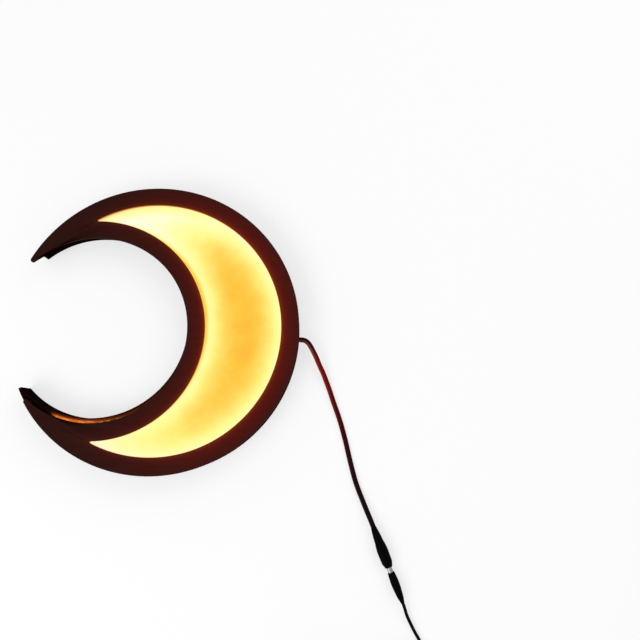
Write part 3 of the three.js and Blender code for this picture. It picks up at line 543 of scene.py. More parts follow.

# Inner strip: one strip of the same stock, bent the other way round the bite.
# Its ends are mitred to lie against the outer strips. Its top shows where the plate sits askew, and the
# lamps' light on it there is painted as an orange glow.
inner_strip_wood, tree, shader, place = stained_wood(
    "inner_strip_wood", strip_dark, strip_light, strip_gloss, bite_centre)
past_face = ("SUBTRACT", from_upright(tree, place, bite_centre), case_bite)
across = calc(tree, "DIVIDE", past_face, strip_thickness)
painted_top_light = ramp(tree, across, (0.0, (30, 8, 2)), (0.35, (74, 22, 4)), (0.7, (118, 40, 0)),
                (1.0, (196, 92, 16)))
off_block = step_along(tree, place, "X", -107, -96)
in_view = step_along(tree, place, "X", -84, -24, 1.0, 0.2)
light_inside(tree, shader, place, top=painted_top_light, top_share=calc(tree, "MULTIPLY", off_block, in_view))


def mitred(radius, z):
    end = math.radians(angle_about(-bite_offset, crossing(inside_radius, radius)))
    return -end, end


settle(bent_strip("bite_strip", -bite_offset, case_bite, case_bite + strip_thickness, (), mitred, 110,
                  inner_strip_wood), "box", "stained_strip", "inner_wall")

# Horn blocks and splice block: offcuts of pale softwood glued in behind the strips' joints.
# The splice block is drilled for the lead. Their top few millimetres, just under the plate, are darkened to
# the strips' dark tone.
softwood, tree, shader, place = new_finish("softwood", 0.75, 0.2)
grain = use_group(tree, wood_grain, Place=place)
pale = ramp(tree, grain["Figure"], (0.3, (168, 126, 78)), (0.7, (206, 170, 118)))
near_top = step_along(tree, place, "Z", -6, -4)
set_inputs(tree, shader, Base_Color=mix_colours(tree, near_top, pale, strip_dark),
           Normal=bump(tree, grain["Pores"], 0.3, 0.00006))
light_inside(tree, shader, place, near=(255, 214, 128), far=(240, 150, 60))


def cad_finish(material, *nodes):
    """CAD nodes keep their shape and get a material."""
    for node in nodes:
        piece = frame["nodes"][node]
        piece.data.materials.clear()
        piece.data.materials.append(material)


cad_finish(softwood, "horn_block_upper", "horn_block_lower", "splice_block")

# Light tape: a white flexible printed strip, stuck on edge round the inside of both walls in one loop.
# Square lamps with round yellow faces sit along it, with a resistor in each group of three.
tape_turn_radius = 8.5 * mm
tape_thickness = 0.4 * mm
tape_width = 8 * mm
tape_from_splice = 8 * mm
splice_length = 26 * mm
led_pitch = 50 / 3 * mm
led_side = 5 * mm
led_thickness = 1.6 * mm
phosphor_radius = 2.0 * mm
tape_middle = (sheet_top + inside_top) / 2
tape_start = math.degrees((splice_length / 2 + tape_from_splice) / inside_radius)
tape_face = crescent_path(inside_radius - tape_thickness, inside_bite + tape_thickness,
                          tape_turn_radius - tape_thickness, tape_start, -tape_start)
tape_steps = [math.dist(a, b) for a, b in zip(tape_face, tape_face[1:])]
tape_length = sum(tape_steps)


def swept_rings(path, section):
    """A section's points (across, up) set along a path that stays about level."""
    rings = []
    for i, place in enumerate(path):
        forward = (path[min(i + 1, len(path) - 1)] - path[max(i - 1, 0)]).normalized()
        across = Vector((0, 0, 1)).cross(forward).normalized()
        up = forward.cross(across)
        rings.append([place + across * x + up * y for x, y in section])
    return rings


def along_tape(distance):
    """The place on the tape's face at a distance along it, with up, along and out from the wall."""
    for (a, b), step in zip(zip(tape_face, tape_face[1:]), tape_steps):
        if distance <= step:
            break
        distance -= step
    start, end = on_case(*a, tape_middle), on_case(*b, tape_middle)
    forward = (end - start).normalized()
    up = Vector((0, 0, 1))
    return start + forward * distance, up, forward, up.cross(forward)


def lit_plastic(name, own, seen_near, seen_far, roughness=0.5):
    """A plastic in the light chamber, with the lamps' light on it painted as an emission colour, and what
    faces up painted dark for the shade under the plate.
    """
    material, tree, shader, place = new_finish(name, roughness, 0.3)
    tone = mottle(tree, place, 700.0, tuple(c * 0.92 for c in own), own)
    painted_shade_on_tops = mix_colours(tree, 1.0, tone, (0.08, 0.05, 0.03, 1), "MULTIPLY")
    set_inputs(tree, shader, Base_Color=mix_colours(tree, faces_up(tree), tone, painted_shade_on_tops),
               Normal=bump(tree, noise(tree, place, 2500.0), 0.2, 0.00002))
    light_inside(tree, shader, place, seen_near, seen_far)
    return material


# The tape and lamp bodies are white; their own colours here are darkened as painted shade for the chamber
# under the plate, and the lamps' light on them is painted.
tape_film = lit_plastic("tape_film", (112, 66, 28), (250, 184, 96), (226, 140, 54))
lamp_body = lit_plastic("lamp_body", (120, 84, 44), (255, 220, 140), (255, 196, 104))
phosphor, tree, shader, place = new_finish("phosphor", 0.3, 0.5)
set_inputs(tree, shader, Base_Color=mottle(tree, place, 1500.0, (228, 182, 62), (240, 204, 88)),
           Emission_Color=mottle(tree, place, 900.0, (255, 226, 150), (255, 240, 186)),
           Emission_Strength=2.0)


def plain_metal(name, dark, light, roughness):
    """Plated or tinned metal with a cloudy tone and fine scratches."""
    material, tree, shader, place = new_finish(name, roughness, 0.5, 1.0)
    cloud = noise(tree, place, 225.0, 4.0, 0.6)
    scratches = noise(tree, vector_calc(tree, "MULTIPLY", place, (0.3, 3.0, 1.0)), 900.0, 3.0)
    set_inputs(tree, shader, Base_Color=ramp(tree, cloud, (0.3, dark), (0.7, light)),
               Roughness=smooth_step(tree, scratches, 0.3, 0.75, roughness - 0.08, roughness + 0.14),
               Normal=bump(tree, scratches, 0.15, 0.00002))
    return material


tinned = plain_metal("tinned_copper", (170, 168, 164), (206, 204, 200), 0.3)
# Tin for the small parts on the tape, painted dark amber: painted shade under the plate and the lamps' amber
# light.
amber_lit_shaded_tin = plain_metal("amber_lit_shaded_tin", (40, 24, 12), (54, 34, 18), 0.45)
copper = plain_metal("bare_copper", (176, 104, 66), (206, 134, 92), 0.35)
resistor_black = lit_plastic("resistor_body", (22, 22, 24), (60, 34, 16), (40, 22, 10), 0.4)
ribbon_section = [(across, side * tape_width / 2) for across, side in (
    (0, -1), (0, 1), (-tape_thickness, 1), (-tape_thickness, -1))]
ribbon = new_piece("tape_ribbon", *skin(swept_rings([on_case(x, y, tape_middle) for x, y in tape_face],
                                                    ribbon_section)), tape_film, crease=30)
settle(ribbon, "box", "led_tape", "led_tape")


def ring_of(shape, half_up, half_along):
    """Points round a rectangle or an ellipse, anticlockwise, as (up, along) pairs."""
    points = []
    for i in range(16):
        angle = 2 * math.pi * (i + 0.5) / 16
        x, y = math.cos(angle), math.sin(angle)
        grow = 1 / max(abs(x), abs(y)) if shape == "rectangle" else 1
        points.append((half_up * x * grow, half_along * y * grow))
    return points


def join_skins(*skins):
    points, faces = [], []
    for more_points, more_faces in skins:
        faces += [tuple(corner + len(points) for corner in face) for face in more_faces]
        points += more_points
    return points, faces


def fit_on_tape(name, parts, *materials):
    """One piece of small parts on the tape, each (distance, up, along, levels, side material, top material).

    A level is (shape, half height, half length, height off the tape), and the last is a flat face.
    """
    skins, numbers = [], []
    for distance, offset_up, offset_along, levels, side_number, top_number in parts:
        place, up, forward, out = along_tape(distance)
        place = place + up * offset_up + forward * offset_along
        rings = [[place + up * a + forward * b + out * rise for a, b in ring_of(shape, half_up, half_along)]
                 for shape, half_up, half_along, rise in levels]
        skins.append(skin(rings))
        numbers += [side_number] * (len(skins[-1][1]) - 1) + [top_number]
    piece = new_piece(name, *join_skins(*skins), *materials, crease=30)
    piece.data.polygons.foreach_set("material_index", numbers)
    settle(piece, "box", "led_tape")


horn_turn = crossing(inside_radius - tape_turn_radius, inside_bite + tape_turn_radius)
outer_turn_angle = angle_about(0, horn_turn)
bite_turn_angle = angle_about(-bite_offset, horn_turn)
turn_length = math.radians(180 - bite_turn_angle + outer_turn_angle) * tape_turn_radius
outer_run = math.radians(outer_turn_angle - tape_start) * inside_radius
bite_run = math.radians(2 * bite_turn_angle) * inside_bite
bare_margin = 0.7 * led_side


def on_straight_run(distance):
    """The tape is bare where it turns in the horns, because its lamps can't bend."""
    turns = (outer_run, outer_run + turn_length + bite_run)
    return all(distance + bare_margin < turn or distance - bare_margin > turn + turn_length
               for turn in turns)


lamp_places = [led_pitch * (i + 0.5) for i in range(int(tape_length / led_pitch))]
lamp_places = [distance for distance in lamp_places if on_straight_run(distance)]
half_led = led_side / 2
lamp_levels = [
    ("rectangle", half_led, half_led, 0), ("rectangle", half_led, half_led, led_thickness - 0.15 * mm),
    ("rectangle", half_led - 0.15 * mm, half_led - 0.15 * mm, led_thickness),
    ("round", phosphor_radius + 0.1 * mm, phosphor_radius + 0.1 * mm, led_thickness),
    ("round", phosphor_radius, phosphor_radius, led_thickness - 0.12 * mm),
]
lead_levels = [("rectangle", 0.45 * mm, 0.3 * mm, 0), ("rectangle", 0.45 * mm, 0.3 * mm, 0.35 * mm),
               ("rectangle", 0.4 * mm, 0.2 * mm, 0.45 * mm)]
lamps = []
for distance in lamp_places:
    lamps.append((distance, 0, 0, lamp_levels, 0, 1))
    lamps += [(distance, 1.5 * mm * row, side * (half_led + 0.2 * mm), lead_levels, 2, 2)
              for row in (-1, 0, 1) for side in (-1, 1)]
fit_on_tape("tape_lamps", lamps, lamp_body, phosphor, amber_lit_shaded_tin)

resistor_levels = [("rectangle", 0.8 * mm, 1.6 * mm, 0), ("rectangle", 0.8 * mm, 1.6 * mm, 0.5 * mm),
                   ("rectangle", 0.75 * mm, 1.5 * mm, 0.55 * mm)]
end_levels = [("rectangle", 0.82 * mm, 0.25 * mm, 0), ("rectangle", 0.82 * mm, 0.25 * mm, 0.58 * mm)]
pad_levels = [("rectangle", 0.9 * mm, 1.1 * mm, 0), ("rectangle", 0.85 * mm, 1.05 * mm, 0.05 * mm)]
fittings = []
for i, distance in enumerate(lamp_places):
    gap = distance + led_pitch / 2
    if i % 3 == 1 and on_straight_run(gap):
        fittings.append((gap, 2.2 * mm, 0, resistor_levels, 0, 0))
        fittings += [(gap, 2.2 * mm, side * 1.35 * mm, end_levels, 1, 1) for side in (-1, 1)]
    if i % 3 == 2 and on_straight_run(gap):
        fittings += [(gap, row * 1.6 * mm, side * 1.3 * mm, pad_levels, 2, 2)
                     for row in (-1, 1) for side in (-1, 1)]
fit_on_tape("tape_resistors_and_pads", fittings, resistor_black, amber_lit_shaded_tin, copper)

# Inline jack: a black body moulded over the end of the lead, with a bright sleeve and pin in its bore.
# The body is one shot of flexible plastic with a fine matt skin.
jack_rear = ring_centre + Vector((226.4, -209, 5.85)) * mm
connector_direction = Vector(frame["joints"][0]["axis"])
jack_length = 42.5 * mm
socket_depth = 13.5 * mm
jack_bore_radius = 3.4 * mm


def smooth_route(points, spacing):
    """A centripetal Catmull-Rom curve through the points, with points about spacing apart."""
    points = [2 * points[0] - points[1], *points, 2 * points[-1] - points[-2]]
    route = []
    for p0, p1, p2, p3 in zip(points, points[1:], points[2:], points[3:]):
        gap0, gap1, gap2 = (math.sqrt((b - a).length) for a, b in ((p0, p1), (p1, p2), (p2, p3)))
        leave = ((p1 - p0) / gap0 - (p2 - p0) / (gap0 + gap1) + (p2 - p1) / gap1) * gap1
        arrive = ((p2 - p1) / gap1 - (p3 - p1) / (gap1 + gap2) + (p3 - p2) / gap2) * gap1
        steps = max(1, round((p2 - p1).length / spacing))
        for i in range(steps):
            t = i / steps
            route.append(
                p1 + t * leave + t * t * (3 * (p2 - p1) - 2 * leave - arrive)
                + t * t * t * (2 * (p1 - p2) + leave + arrive))
    return [*route, points[-2]]


def turned_piece(name, start, direction, profile, *materials, sides=48, crease=35):
    """A solid turned about an axis, from (place along it, radius) pairs in order, its ends flat."""
    across = Vector((0, 0, 1)).cross(direction).normalized()
    up = direction.cross(across)
    rings = [[start + direction * along + radius * (across * math.cos(a) + up * math.sin(a))
              for a in (2 * math.pi * k / sides for k in range(sides))] for along, radius in profile]
    return new_piece(name, *skin(rings), *materials, crease=crease)


def moulded_profile(pairs):
    """A smooth profile through (place, radius) pairs in millimetres."""
    route = smooth_route([Vector((along, radius, 0)) * mm for along, radius in pairs], 0.6 * mm)
    return [(point.x, point.y) for point in route]


# Moulding and extrusion leave a faint haze and a fine texture on every plastic skin here.
plastic_skin, given, result = new_group("plastic_skin", "Place", "Fineness", "Tone Relief")
finer = calc(plastic_skin, "MULTIPLY", given["Fineness"], 12.0)
set_inputs(plastic_skin, result, Relief=noise(plastic_skin, given["Place"], finer, 2.0),
           Tone=noise(plastic_skin, given["Place"], given["Fineness"], 3.0, 0.6))


def black_plastic(name, dark, light, roughness, specular, fineness, relief=0.00003):
    """Moulded or extruded black plastic, between two tones, with a little dust on it."""
    material, tree, shader, place = new_finish(name, roughness, specular)
    texture = use_group(tree, plastic_skin, Place=place, Fineness=fineness)
    tone = ramp(tree, texture["Tone"], (0.3, dark), (0.72, light))
    specks = use_group(tree, dust_specks, Place=place, Scale=420.0)["Specks"]
    dusty = mix_colours(tree, calc(tree, "MULTIPLY", specks, 0.3), tone, (120, 114, 106))
    set_inputs(tree, shader, Base_Color=dusty, Normal=bump(tree, texture["Relief"], 0.35, relief),
               Roughness=smooth_step(tree, texture["Tone"], 0.3, 0.7, roughness - 0.07, roughness + 0.09))
    return material


connector_plastic = black_plastic("connector_plastic", (5, 4, 5), (9, 7, 8), 0.45, 0.015, 260.0)
jack_outline = moulded_profile((
    (0, 2.8), (3.7, 3.4), (8, 4.0), (14, 4.5), (16.4, 4.75), (18.6, 5.2), (22.8, 5.62), (25, 5.78),
    (33, 5.65), (37.6, 5.45), (39.5, 4.8), (41.5, 4.15), (42.3, 3.85)))
socket_floor = jack_length - socket_depth
jack_shell = turned_piece(
    "jack_moulding", jack_rear, connector_direction,
    [(0, 2.3 * mm), (0, 2.65 * mm), *jack_outline, (jack_length, 3.7 * mm), (jack_length, jack_bore_radius),
     (socket_floor, jack_bore_radius)], connector_plastic)
settle(jack_shell, "box", "connector_black", "jack_body")
cad_finish(plain_metal("nickel_plate", (126, 123, 119), (160, 157, 152), 0.18),
           "jack_sleeve", "jack_pin", "plug_barrel", "plug_contact")

# Twin lead: two stranded cores side by side under one extruded skin, one red and one black. It comes out
# of the strips' joint, drops to the table and runs to the jack, which is moulded over its end.
lead_width = 5.4 * mm
lead_thickness = 2.7 * mm
lead_web = 0.18 * mm
lead_in_jack = 3 * mm
lead_split = 139.1 * mm
lead_points = [on_case(radius, 0, exit_height) for radius in (
    lead_split, 143.9 * mm, 148.9 * mm, 153.7 * mm)]
lead_exit = lead_points[-1]
lead_points += [ring_centre + Vector(point) * mm for point in (
    (157.6, -13.8, 12), (161.4, -16.4, 11.9), (164.2, -20.5, 11.5),
    (167.5, -26.9, 10.7), (170.4, -33.2, 9.4), (173.4, -40.6, 7.5),
    (176.8, -48, 5.5), (180, -56.5, 3.6), (183.8, -67.2, 2.2),
    (187.1, -77.8, 1.6), (194.1, -99.2, 1.5), (199.5, -120.3, 1.5),
    (203.9, -141.1, 1.5), (208.9, -161.8, 1.7), (212.3, -172.1, 2.2),
    (216.1, -182.3, 3.2), (219.9, -192.3, 4.5),
)]
lead_points += [jack_rear - connector_direction * (lead_width + glue_line), jack_rear,
                jack_rear + connector_direction * lead_in_jack]
lead_path = smooth_route(lead_points, 1.2 * mm)
core_radius = lead_thickness / 2
core_offset = lead_width / 2 - core_radius
waist_angle = math.degrees(math.acos(-(core_offset - lead_web) / core_radius))
core_points = 17
lead_section = arc(core_offset, 0, core_radius, -waist_angle, waist_angle, core_points - 1)
lead_section += arc(-core_offset, 0, core_radius, 180 - waist_angle, 180 + waist_angle, core_points - 1)


def insulation(name, glow_fades_over, *tones):
    """Glossy insulation with the light box's glow painted into its colour, fading with the distance from the
    box.
    """
    material, tree, shader, place = new_finish(name, 0.42, 0.05)
    away = vector_calc(tree, "DISTANCE", place, tuple(lead_exit))
    tone = ramp(tree, calc(tree, "DIVIDE", away, glow_fades_over), *tones)
    texture = use_group(tree, plastic_skin, Place=place, Fineness=420.0)
    hazy = mix_colours(tree, calc(tree, "MULTIPLY", texture["Tone"], 0.2), tone, (12, 4, 4))
    set_inputs(tree, shader, Base_Color=hazy, Normal=bump(tree, texture["Relief"], 0.3, 0.00003),
               Roughness=smooth_step(tree, texture["Tone"], 0.3, 0.7, 0.34, 0.5))
    return material


# The box's glow is painted on both cores: brightest near the box, darker away from it, and red on the black
# core.
red_core = insulation(
    "red_insulation", 220 * mm, (0.0, (120, 46, 40)), (0.08, (150, 62, 54)), (0.18, (166, 18, 20)),
    (0.33, (136, 26, 24)), (0.48, (76, 7, 15)), (0.73, (45, 12, 20)), (0.9, (24, 10, 14)), (1.0, (14, 7, 9)))
black_core = insulation(
    "black_insulation", 220 * mm, (0.0, (26, 10, 8)), (0.08, (62, 14, 2)), (0.18, (120, 11, 0)),
    (0.33, (86, 2, 0)), (0.48, (56, 0, 2)), (0.73, (26, 0, 4)), (0.9, (13, 5, 8)), (1.0, (8, 4, 6)))
lead_flex = new_piece("lead_flex", *skin(swept_rings(lead_path, lead_section)), red_core, black_core,
                      crease=40)
for polygon in lead_flex.data.polygons:
    if len(polygon.vertices) == 4 and polygon.vertices[0] % len(lead_section) < core_points:
        polygon.material_index = 1
settle(lead_flex, "box", "lead", "lead")


# Inside ends of the lead: the two cores are split, stripped and soldered to the first pads of the tape.
# A dab of hot-melt glue over the hole keeps the lead from being pulled out.
hot_melt, tree, shader, place = new_finish("hot_melt", 0.3, 0.5)
set_inputs(tree, shader, Base_Color=mottle(tree, place, 160.0, (206, 190, 150), (226, 214, 182), 3.0),
           Normal=bump(tree, noise(tree, place, 500.0), 0.4, 0.0001))
light_inside(tree, shader, place, near=(250, 206, 130), far=(236, 160, 72))
cad_finish(hot_melt, "glue_dab")
cad_finish(tinned, "solder_red", "solder_black")
wire_radius = 0.7 * mm
solder_gap = 0.3 * mm
solder_height = 0.9 * mm
pad_along = 3.5 * mm
pad_spacing = 3.2 * mm
pad_place, up, forward, pad_inward = along_tape(pad_along)
case_up = on_case(0, 1, 0) - ring_centre
for core, side, tones in (("red", 1, ((150, 20, 18), (196, 70, 30), (150, 40, 16))),
                          ("black", -1, ((20, 18, 18), (70, 40, 18), (40, 22, 10)))):
    wire_plastic = lit_plastic(f"{core}_wire_skin", *tones)
    start = on_case(lead_split - glue_line, side * lead_width / 4, exit_height)
    joint = pad_place + up * (side * pad_spacing / 2)
    bend = start - case_right * (4.5 * mm - side * mm) + case_up * (5.5 - side * 0.5) * mm
    climb = start.lerp(joint + pad_inward * 9 * mm, 0.6) + case_right * (side - 2) * mm
    wire_path = smooth_route([
        start + case_right * 2 * mm, start, start - case_right * 2 * mm, bend, climb,
        joint + pad_inward * 5 * mm, joint + pad_inward * (solder_gap + solder_height)], 0.5 * mm)
    wire = new_piece(f"{core}_core", *skin(swept_rings(
        wire_path, arc(0, 0, wire_radius, 0, 360, 12)[:-1])), wire_plastic, crease=40)
    settle(wire, "box", f"wire_{core}", f"inner_wire_{core}")

# Front plate: a thin board with a crescent outline and a crescent window, stained dark brown all over.
# It is glued on top of the strips. The lamps' glow round the window, on the window's cut edge and on the
# underside in the chamber is painted as an emission colour.
outer_border = 18.9 * mm
bite_border = 18.6 * mm
horn_rounding = 2.5 * mm
window_rounding = 0.9 * mm
plate_edge = 0.35 * mm
window_outer = plate_radius - outer_border
window_bite = bite_radius + bite_border
plate_dark, plate_light = (36, 17, 14), (46, 22, 17)
plate_wood, tree, shader, place = stained_wood("plate_wood", plate_dark, plate_light, 0.03)
past_outer = ("SUBTRACT", from_upright(tree, place, ring_centre), window_outer)
past_bite = ("SUBTRACT", window_bite, from_upright(tree, place, on_plate(-bite_offset, 0, 0)))
from_window = calc(tree, "DIVIDE", ("MAXIMUM", past_outer, past_bite), outer_border)
own = srgb(41, 19, 15)
# Painted glow round the window, fading away from its edge and weaker towards the left.
painted_window_glow = ramp(tree, from_window, *((place_out, lamp_light(srgb(*seen), own)) for place_out, seen in (
    (0.0, (124, 50, 6)), (0.08, (112, 38, 0)), (0.14, (103, 30, 2)), (0.22, (92, 24, 8)),
    (0.34, (84, 20, 11)), (0.6, (76, 19, 13)), (0.9, (65, 21, 17)), (1.0, (60, 21, 18)))))
strength = smooth_step(tree, axis_of(tree, place, "X"), -0.11, 0.13, 0.12, 1.0)
front_glow = mix_colours(tree, strength, (0, 0, 0), painted_window_glow)
cut_glow = ramp(tree, from_window, (0.0, (206, 118, 40)), (0.06, (206, 118, 40)), (0.1, (0, 0, 0)))
inside = use_group(tree, lamp_reach, Place=place)["Inside"]
under_glow = mix_colours(tree, inside, (0, 0, 0), (226, 136, 50))
facing = facing_up(tree)
glow = mix_colours(tree, calc(tree, "GREATER_THAN", facing, 0.4), cut_glow, front_glow)
set_inputs(tree, shader, Emission_Strength=1.0, Emission_Color=mix_colours(
    tree, calc(tree, "LESS_THAN", facing, -0.4), glow, under_glow))
side_levels = eased_levels(*heights("front_plate"), plate_edge)
plate_rings = crescent_rings(on_plate, plate_radius, bite_radius, horn_rounding, side_levels)
plate_rings += crescent_rings(on_plate, window_outer, window_bite, window_rounding,
                              reversed(side_levels), inwards=-1)
settle(new_piece("plate_board", *skin(plate_rings, "joined"), plate_wood, crease=12),
       "box", "stained_board", "front_plate")

# Sawtooth hanger: a pressed strip of brassed steel with a toothed edge, held to the panel by two small
# round-headed nails with the same plating.
cad_finish(plain_metal("brassed_steel", (176, 140, 72), (212, 178, 104), 0.3),
           "hanger", "hanger_nail_left", "hanger_nail_right")

# Plug: a black body moulded over the supply cord, with a bright barrel that is part way out of the jack.
# A dark insulating ring keeps the barrel from the contact inside it.
plug_shoulder = 47.8 * mm
plug_length = 32 * mm
barrel_seat = 4 * mm
barrel_hole_radius = 2.9 * mm
plug_outline = moulded_profile((
    (0, 3.35), (1.2, 3.6), (2.7, 3.82), (6.8, 4.12), (10.9, 4.35), (14.9, 4.25), (19, 3.9), (23.2, 3.5),
    (27.2, 2.95), (29.2, 2.45), (31.7, 2.0)))
plug_shell = turned_piece(
    "plug_moulding", jack_rear + connector_direction * plug_shoulder, connector_direction,
    [(barrel_seat, barrel_hole_radius), (0, barrel_hole_radius), (0, 3.2 * mm), *plug_outline,
     (plug_length, 1.9 * mm)], connector_plastic)
settle(plug_shell, "supply", "connector_black", "plug_body")
cad_finish(black_plastic("insulator_plastic", (10, 10, 11), (20, 19, 20), 0.35, 0.1, 500.0),
           "plug_insulator")

# Plug-in supply: two black shells welded at a seam round a small board, with two flat blades.
# A ribbed strain relief of softer plastic is caught between the shells where the cord goes in.
case_plastic = black_plastic("case_plastic", (9, 9, 10), (17, 16, 17), 0.5, 0.12, 160.0, 0.00006)
adapter_low, adapter_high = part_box("adapter_lower_shell")
adapter_middle = (adapter_low + adapter_high) / 2
adapter_corner = 4 * mm
case_rounding = 2.5 * mm
seam_easing = 0.35 * mm


def rounded_outline(x0, x1, y0, y1, corner):
    """Anticlockwise round a rectangle with rounded corners, from the places of the corners' centres."""
    return (arc(x1, y1, corner, 0, 90, 8) + arc(x0, y1, corner, 90, 180, 8)
            + arc(x0, y0, corner, 180, 270, 8) + arc(x1, y0, corner, 270, 360, 8))


def shell(name, node, bottom_rounding, top_rounding):
    """A shell as a closed solid, with its edges rounded at the bottom and the top."""
    x = (adapter_high.x - adapter_low.x) / 2 - adapter_corner
    y = (adapter_high.y - adapter_low.y) / 2 - adapter_corner
    levels = eased_levels(*heights(node), bottom_rounding, top_rounding, steps=6)
    rings = [[adapter_middle.xy.to_3d() + Vector((across, along, z))
              for across, along in rounded_outline(-x, x, -y, y, adapter_corner - inset)]
             for inset, z in levels]
    return settle(new_piece(name, *skin(rings), case_plastic, crease=12), "supply", "adapter_case", node)


lower_shell = shell("supply_base", "adapter_lower_shell", case_rounding, seam_easing)
upper_shell = shell("supply_cover", "adapter_upper_shell", seam_easing, case_rounding)
relief_length = 20
relief_height = 8.65 * mm
relief_start = Vector((adapter_high.x, adapter_middle.y, relief_height))
relief_profile = [(-4, 2.6), (0.3, 2.6), (0.3, 3.5), (0.45, 3.6), (2.1, 3.6), (2.2, 3.4)]
rib_count = 5
rib_pitch = (relief_length - 4) / rib_count
for i in range(rib_count):
    rib, radius = 2.4 + i * rib_pitch, 3.3 - i * 0.22
    relief_profile += [(rib, radius - 0.6), (rib + 0.9, radius - 0.65), (rib + 1.0, radius - 0.05),
                       (rib + 1.15, radius), (rib + rib_pitch - 0.15, radius - 0.12),
                       (rib + rib_pitch, radius - 0.2)]
relief_profile += [(relief_length - 1, 2.15), (relief_length, 2.05)]
relief_profile = [(along * mm, radius * mm) for along, radius in relief_profile]
relief_plastic = black_plastic("relief_plastic", (7, 7, 7), (14, 13, 13), 0.55, 0.08, 300.0)
relief = settle(turned_piece("supply_strain_relief", relief_start, Vector((1, 0, 0)), relief_profile,
                             relief_plastic, sides=32, crease=30),
                "supply", "adapter_case", "adapter_strain_relief")
cad_finish(plain_metal("blade_metal", (178, 172, 158), (212, 206, 190), 0.25),
           "adapter_blade_left", "adapter_blade_right")
cad_finish(black_plastic("board_green", (16, 62, 34), (22, 78, 44), 0.4, 0.3, 300.0), "adapter_board")
cad_finish(black_plastic("winding_tape", (186, 142, 30), (206, 164, 46), 0.5, 0.3, 200.0),
           "adapter_transformer")
cad_finish(black_plastic("can_sleeve", (12, 20, 52), (20, 30, 70), 0.35, 0.35, 200.0),
           "adapter_capacitor_input", "adapter_capacitor_output")

# Supply cord: one round black flex. It leaves the plug's tail, runs out of the picture, is put away in a
# coil of eight and a third turns in two layers, and ends in the plug-in supply.
cord_radius = 1.65 * mm
end_gap = 0.3 * mm
coil_centre = ring_centre + Vector((255.5, -354.5, 0)) * mm
coil_middle_radius = 19.5 * mm
coil_turns_per_layer = 25 / 6
coil_start_angle = 30
turn_pitch = 2 * cord_radius + 0.55 * mm
tie_thickness = 0.8 * mm
tie_clearance = 0.35 * mm
lower_layer = tie_thickness + tie_clearance + cord_radius
upper_layer = lower_layer + turn_pitch
coil_inner = coil_middle_radius - coil_turns_per_layer * turn_pitch / 2


def coil_point(turn):
    """A place on the coil: inwards on the lower layer, up in half a turn, outwards on the upper."""
    angle = math.radians(coil_start_angle - 360 * turn)
    radius = coil_inner + turn_pitch * abs(turn - coil_turns_per_layer)
    climb = min(max((turn - coil_turns_per_layer) * 2 + 0.5, 0), 1)
    height = lower_layer + (upper_layer - lower_layer) * (0.5 - 0.5 * math.cos(climb * math.pi))
    return coil_centre + Vector((radius * math.cos(angle), radius * math.sin(angle), height))


steps_per_turn = 36
coil_steps = round(2 * coil_turns_per_layer * steps_per_turn)
coil_turns = [coil_point(2 * coil_turns_per_layer * i / coil_steps) for i in range(coil_steps + 1)]
heading_in = (coil_turns[1] - coil_turns[0]).xy.to_3d().normalized()
heading_out = (coil_turns[-1] - coil_turns[-2]).xy.to_3d().normalized()
straight = 2 * cord_radius
plug_tail = jack_rear + connector_direction * (plug_shoulder + plug_length)
cord_in_plug = 3 * mm
cord_in_supply = 30 * mm
coil_start = coil_turns[0] - heading_in * (straight + end_gap)
coil_end = coil_turns[-1] + heading_out * (straight + end_gap)
inlet = relief_start + Vector((relief_length * mm + end_gap, 0, 0))
to_coil = smooth_route([
    plug_tail - connector_direction * cord_in_plug,
    plug_tail + connector_direction * end_gap,
    plug_tail + connector_direction * (end_gap + straight),
    *(ring_centre + Vector(point) * mm for point in (
        (258.2, -296.8, 3.3), (261.7, -304.7, 2.4), (265.5, -312.6, 2),
        (269.8, -320.4, 1.9),
    )),
    coil_start - heading_in * straight,
    coil_start,
], 2 * mm)
to_supply = smooth_route([
    coil_end, coil_end + heading_out * straight, inlet + Vector((straight, 0, 0)), inlet], 2 * mm)
supply_path = to_coil + coil_turns + to_supply + [inlet - Vector((cord_in_supply, 0, 0))]
cord_skin = black_plastic("supply_cord_skin", (4, 3, 3), (10, 8, 8), 0.5, 0.03, 500.0)
curve = bpy.data.curves.new("supply_flex", "CURVE")
curve.dimensions = "3D"
curve.bevel_depth = cord_radius
curve.bevel_resolution = 4
curve.use_fill_caps = True
spline = curve.splines.new("POLY")
spline.points.add(len(supply_path) - 1)
for point, place in zip(spline.points, supply_path):
    point.co = (*place, 1)
curve.materials.append(cord_skin)
supply_flex = new_object("supply_flex", curve)
settle(supply_flex, "supply", "cord_black", "supply_cord", "supply_coil", "supply_cord_end")

# Tie: a flat strip of black plastic with a wire in it, passed round the coil's turns.
# Its two ends are twisted together on top and laid down.
tie_width = 4 * mm
tie_corner = 1 * mm
tie_angle = math.radians(165)
tie_plastic = black_plastic("tie_plastic", (10, 10, 10), (20, 19, 18), 0.45, 0.12, 500.0)
tie_inner = coil_inner - cord_radius - tie_clearance
tie_outer = coil_inner + coil_turns_per_layer * turn_pitch + cord_radius + tie_clearance
tie_bottom = lower_layer - cord_radius - tie_clearance
tie_top = upper_layer + cord_radius + tie_clearance


def round_turns(grow):
    """Round the coil's turns seen from the side, as (distance from the coil's centre, height) pairs."""
    return rounded_outline(tie_inner + tie_corner, tie_outer - tie_corner,
                           tie_bottom + tie_corner, tie_top - tie_corner, tie_corner + grow)


def on_coil(distance, sideways, height):
    return coil_centre + Matrix.Rotation(tie_angle, 3, "Z") @ Vector((distance, sideways, height))


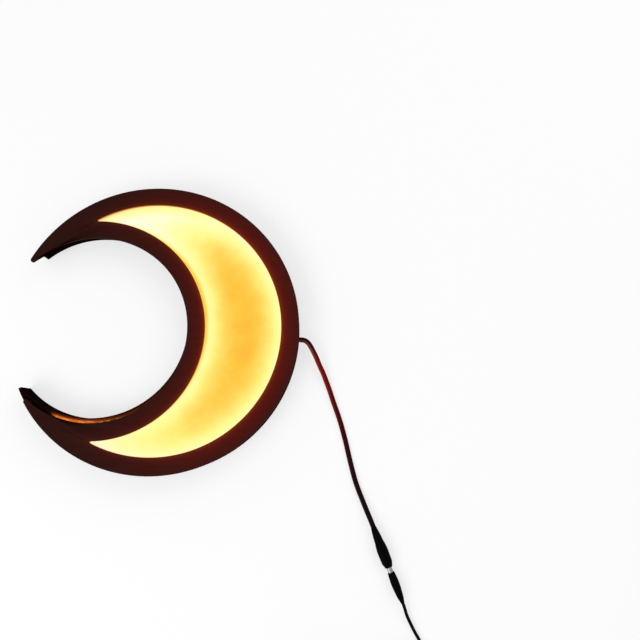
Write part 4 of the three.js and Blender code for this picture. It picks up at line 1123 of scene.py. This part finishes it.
tie_section = [(-0.5, 0.08), (-0.42, 0.0), (0.42, 0.0), (0.5, 0.08), (0.5, 0.5), (0.42, 0.6), (0.16, 0.66),
               (0.08, 1.0), (-0.08, 1.0), (-0.16, 0.66), (-0.42, 0.6), (-0.5, 0.5)]
band_loops = [round_turns(out * tie_thickness) for across, out in tie_section]
band_rings = [[on_coil(loop[k][0], across * tie_width, loop[k][1])
               for (across, out), loop in zip(tie_section, band_loops)] for k in range(len(band_loops[0]))]
tie_skins = [skin(band_rings, "joined")]
twist_turns = 3.5
twist_steps = 56
twist_start = (tie_inner + tie_outer) / 2 - 1.8 * mm
twist_length = 8.4 * mm
strand_radius = 0.52 * mm
for strand in (0, math.pi):
    centre_line = []
    for i in range(twist_steps + 1):
        share = i / twist_steps
        a = strand + share * twist_turns * 2 * math.pi
        centre_line.append(on_coil(twist_start + share * twist_length, strand_radius * math.cos(a),
                                   tie_top + tie_thickness + 0.95 * mm + strand_radius * math.sin(a)))
    tie_skins.append(skin(swept_rings(centre_line, arc(0, 0, strand_radius, 0, 360, 10)[:-1])))
tie = settle(new_piece("coil_tie_strip", *join_skins(*tie_skins), tie_plastic, crease=40),
             "supply", "tie", "coil_tie")

# Table and light: a white table under an even white sky, with two broad soft lamps.
# The table and the sky show as white, and the table keeps the box's soft shadow.
table_paint, tree, shader, place = new_finish("table_paint", 0.9, 0.1)


def seen_directly(tree):
    """1 where the eye, a reflection or a see-through part meets the surface, else 0."""
    ray = add_node(tree, "ShaderNodeLightPath")
    return calc(tree, "MAXIMUM", ray.outputs["Is Camera Ray"],
                ("MAXIMUM", ray.outputs["Is Glossy Ray"], ray.outputs["Is Transmission Ray"]))


white_light = mix_colours(tree, seen_directly(tree), (0, 0, 0), (255, 255, 255))
set_inputs(tree, shader, Base_Color=(0.45, 0.45, 0.45, 1), Emission_Color=white_light,
           Emission_Strength=0.62)
table_mesh = bpy.data.meshes.new("table")
half_table = 4
table_mesh.from_pydata([(x * half_table, y * half_table, -0.0002) for x, y in (
    (-1, -1), (1, -1), (1, 1), (-1, 1))], [], [(0, 1, 2, 3)])
table_mesh.materials.append(table_paint)
new_object("table", table_mesh)
world = bpy.data.worlds.new("studio")
bpy.context.scene.world = world
world.use_nodes = True
tree = world.node_tree
set_inputs(tree, tree.nodes["Background"], Color=(1, 1, 1, 1),
           Strength=calc(tree, "MULTIPLY_ADD", seen_directly(tree), 0.45, 0.55))
for name, place, power, size in (("key_lamp", (-0.9, -0.9, 1.3), 9.0, 1.0),
                                 ("fill_lamp", (1.1, 0.9, 1.2), 5.0, 1.2)):
    lamp = bpy.data.lights.new(name, "AREA")
    lamp.energy = power
    lamp.size = size
    light = new_object(name, lamp)
    light.location = place
    light.rotation_euler = Vector(place).to_track_quat("Z", "Y").to_euler()
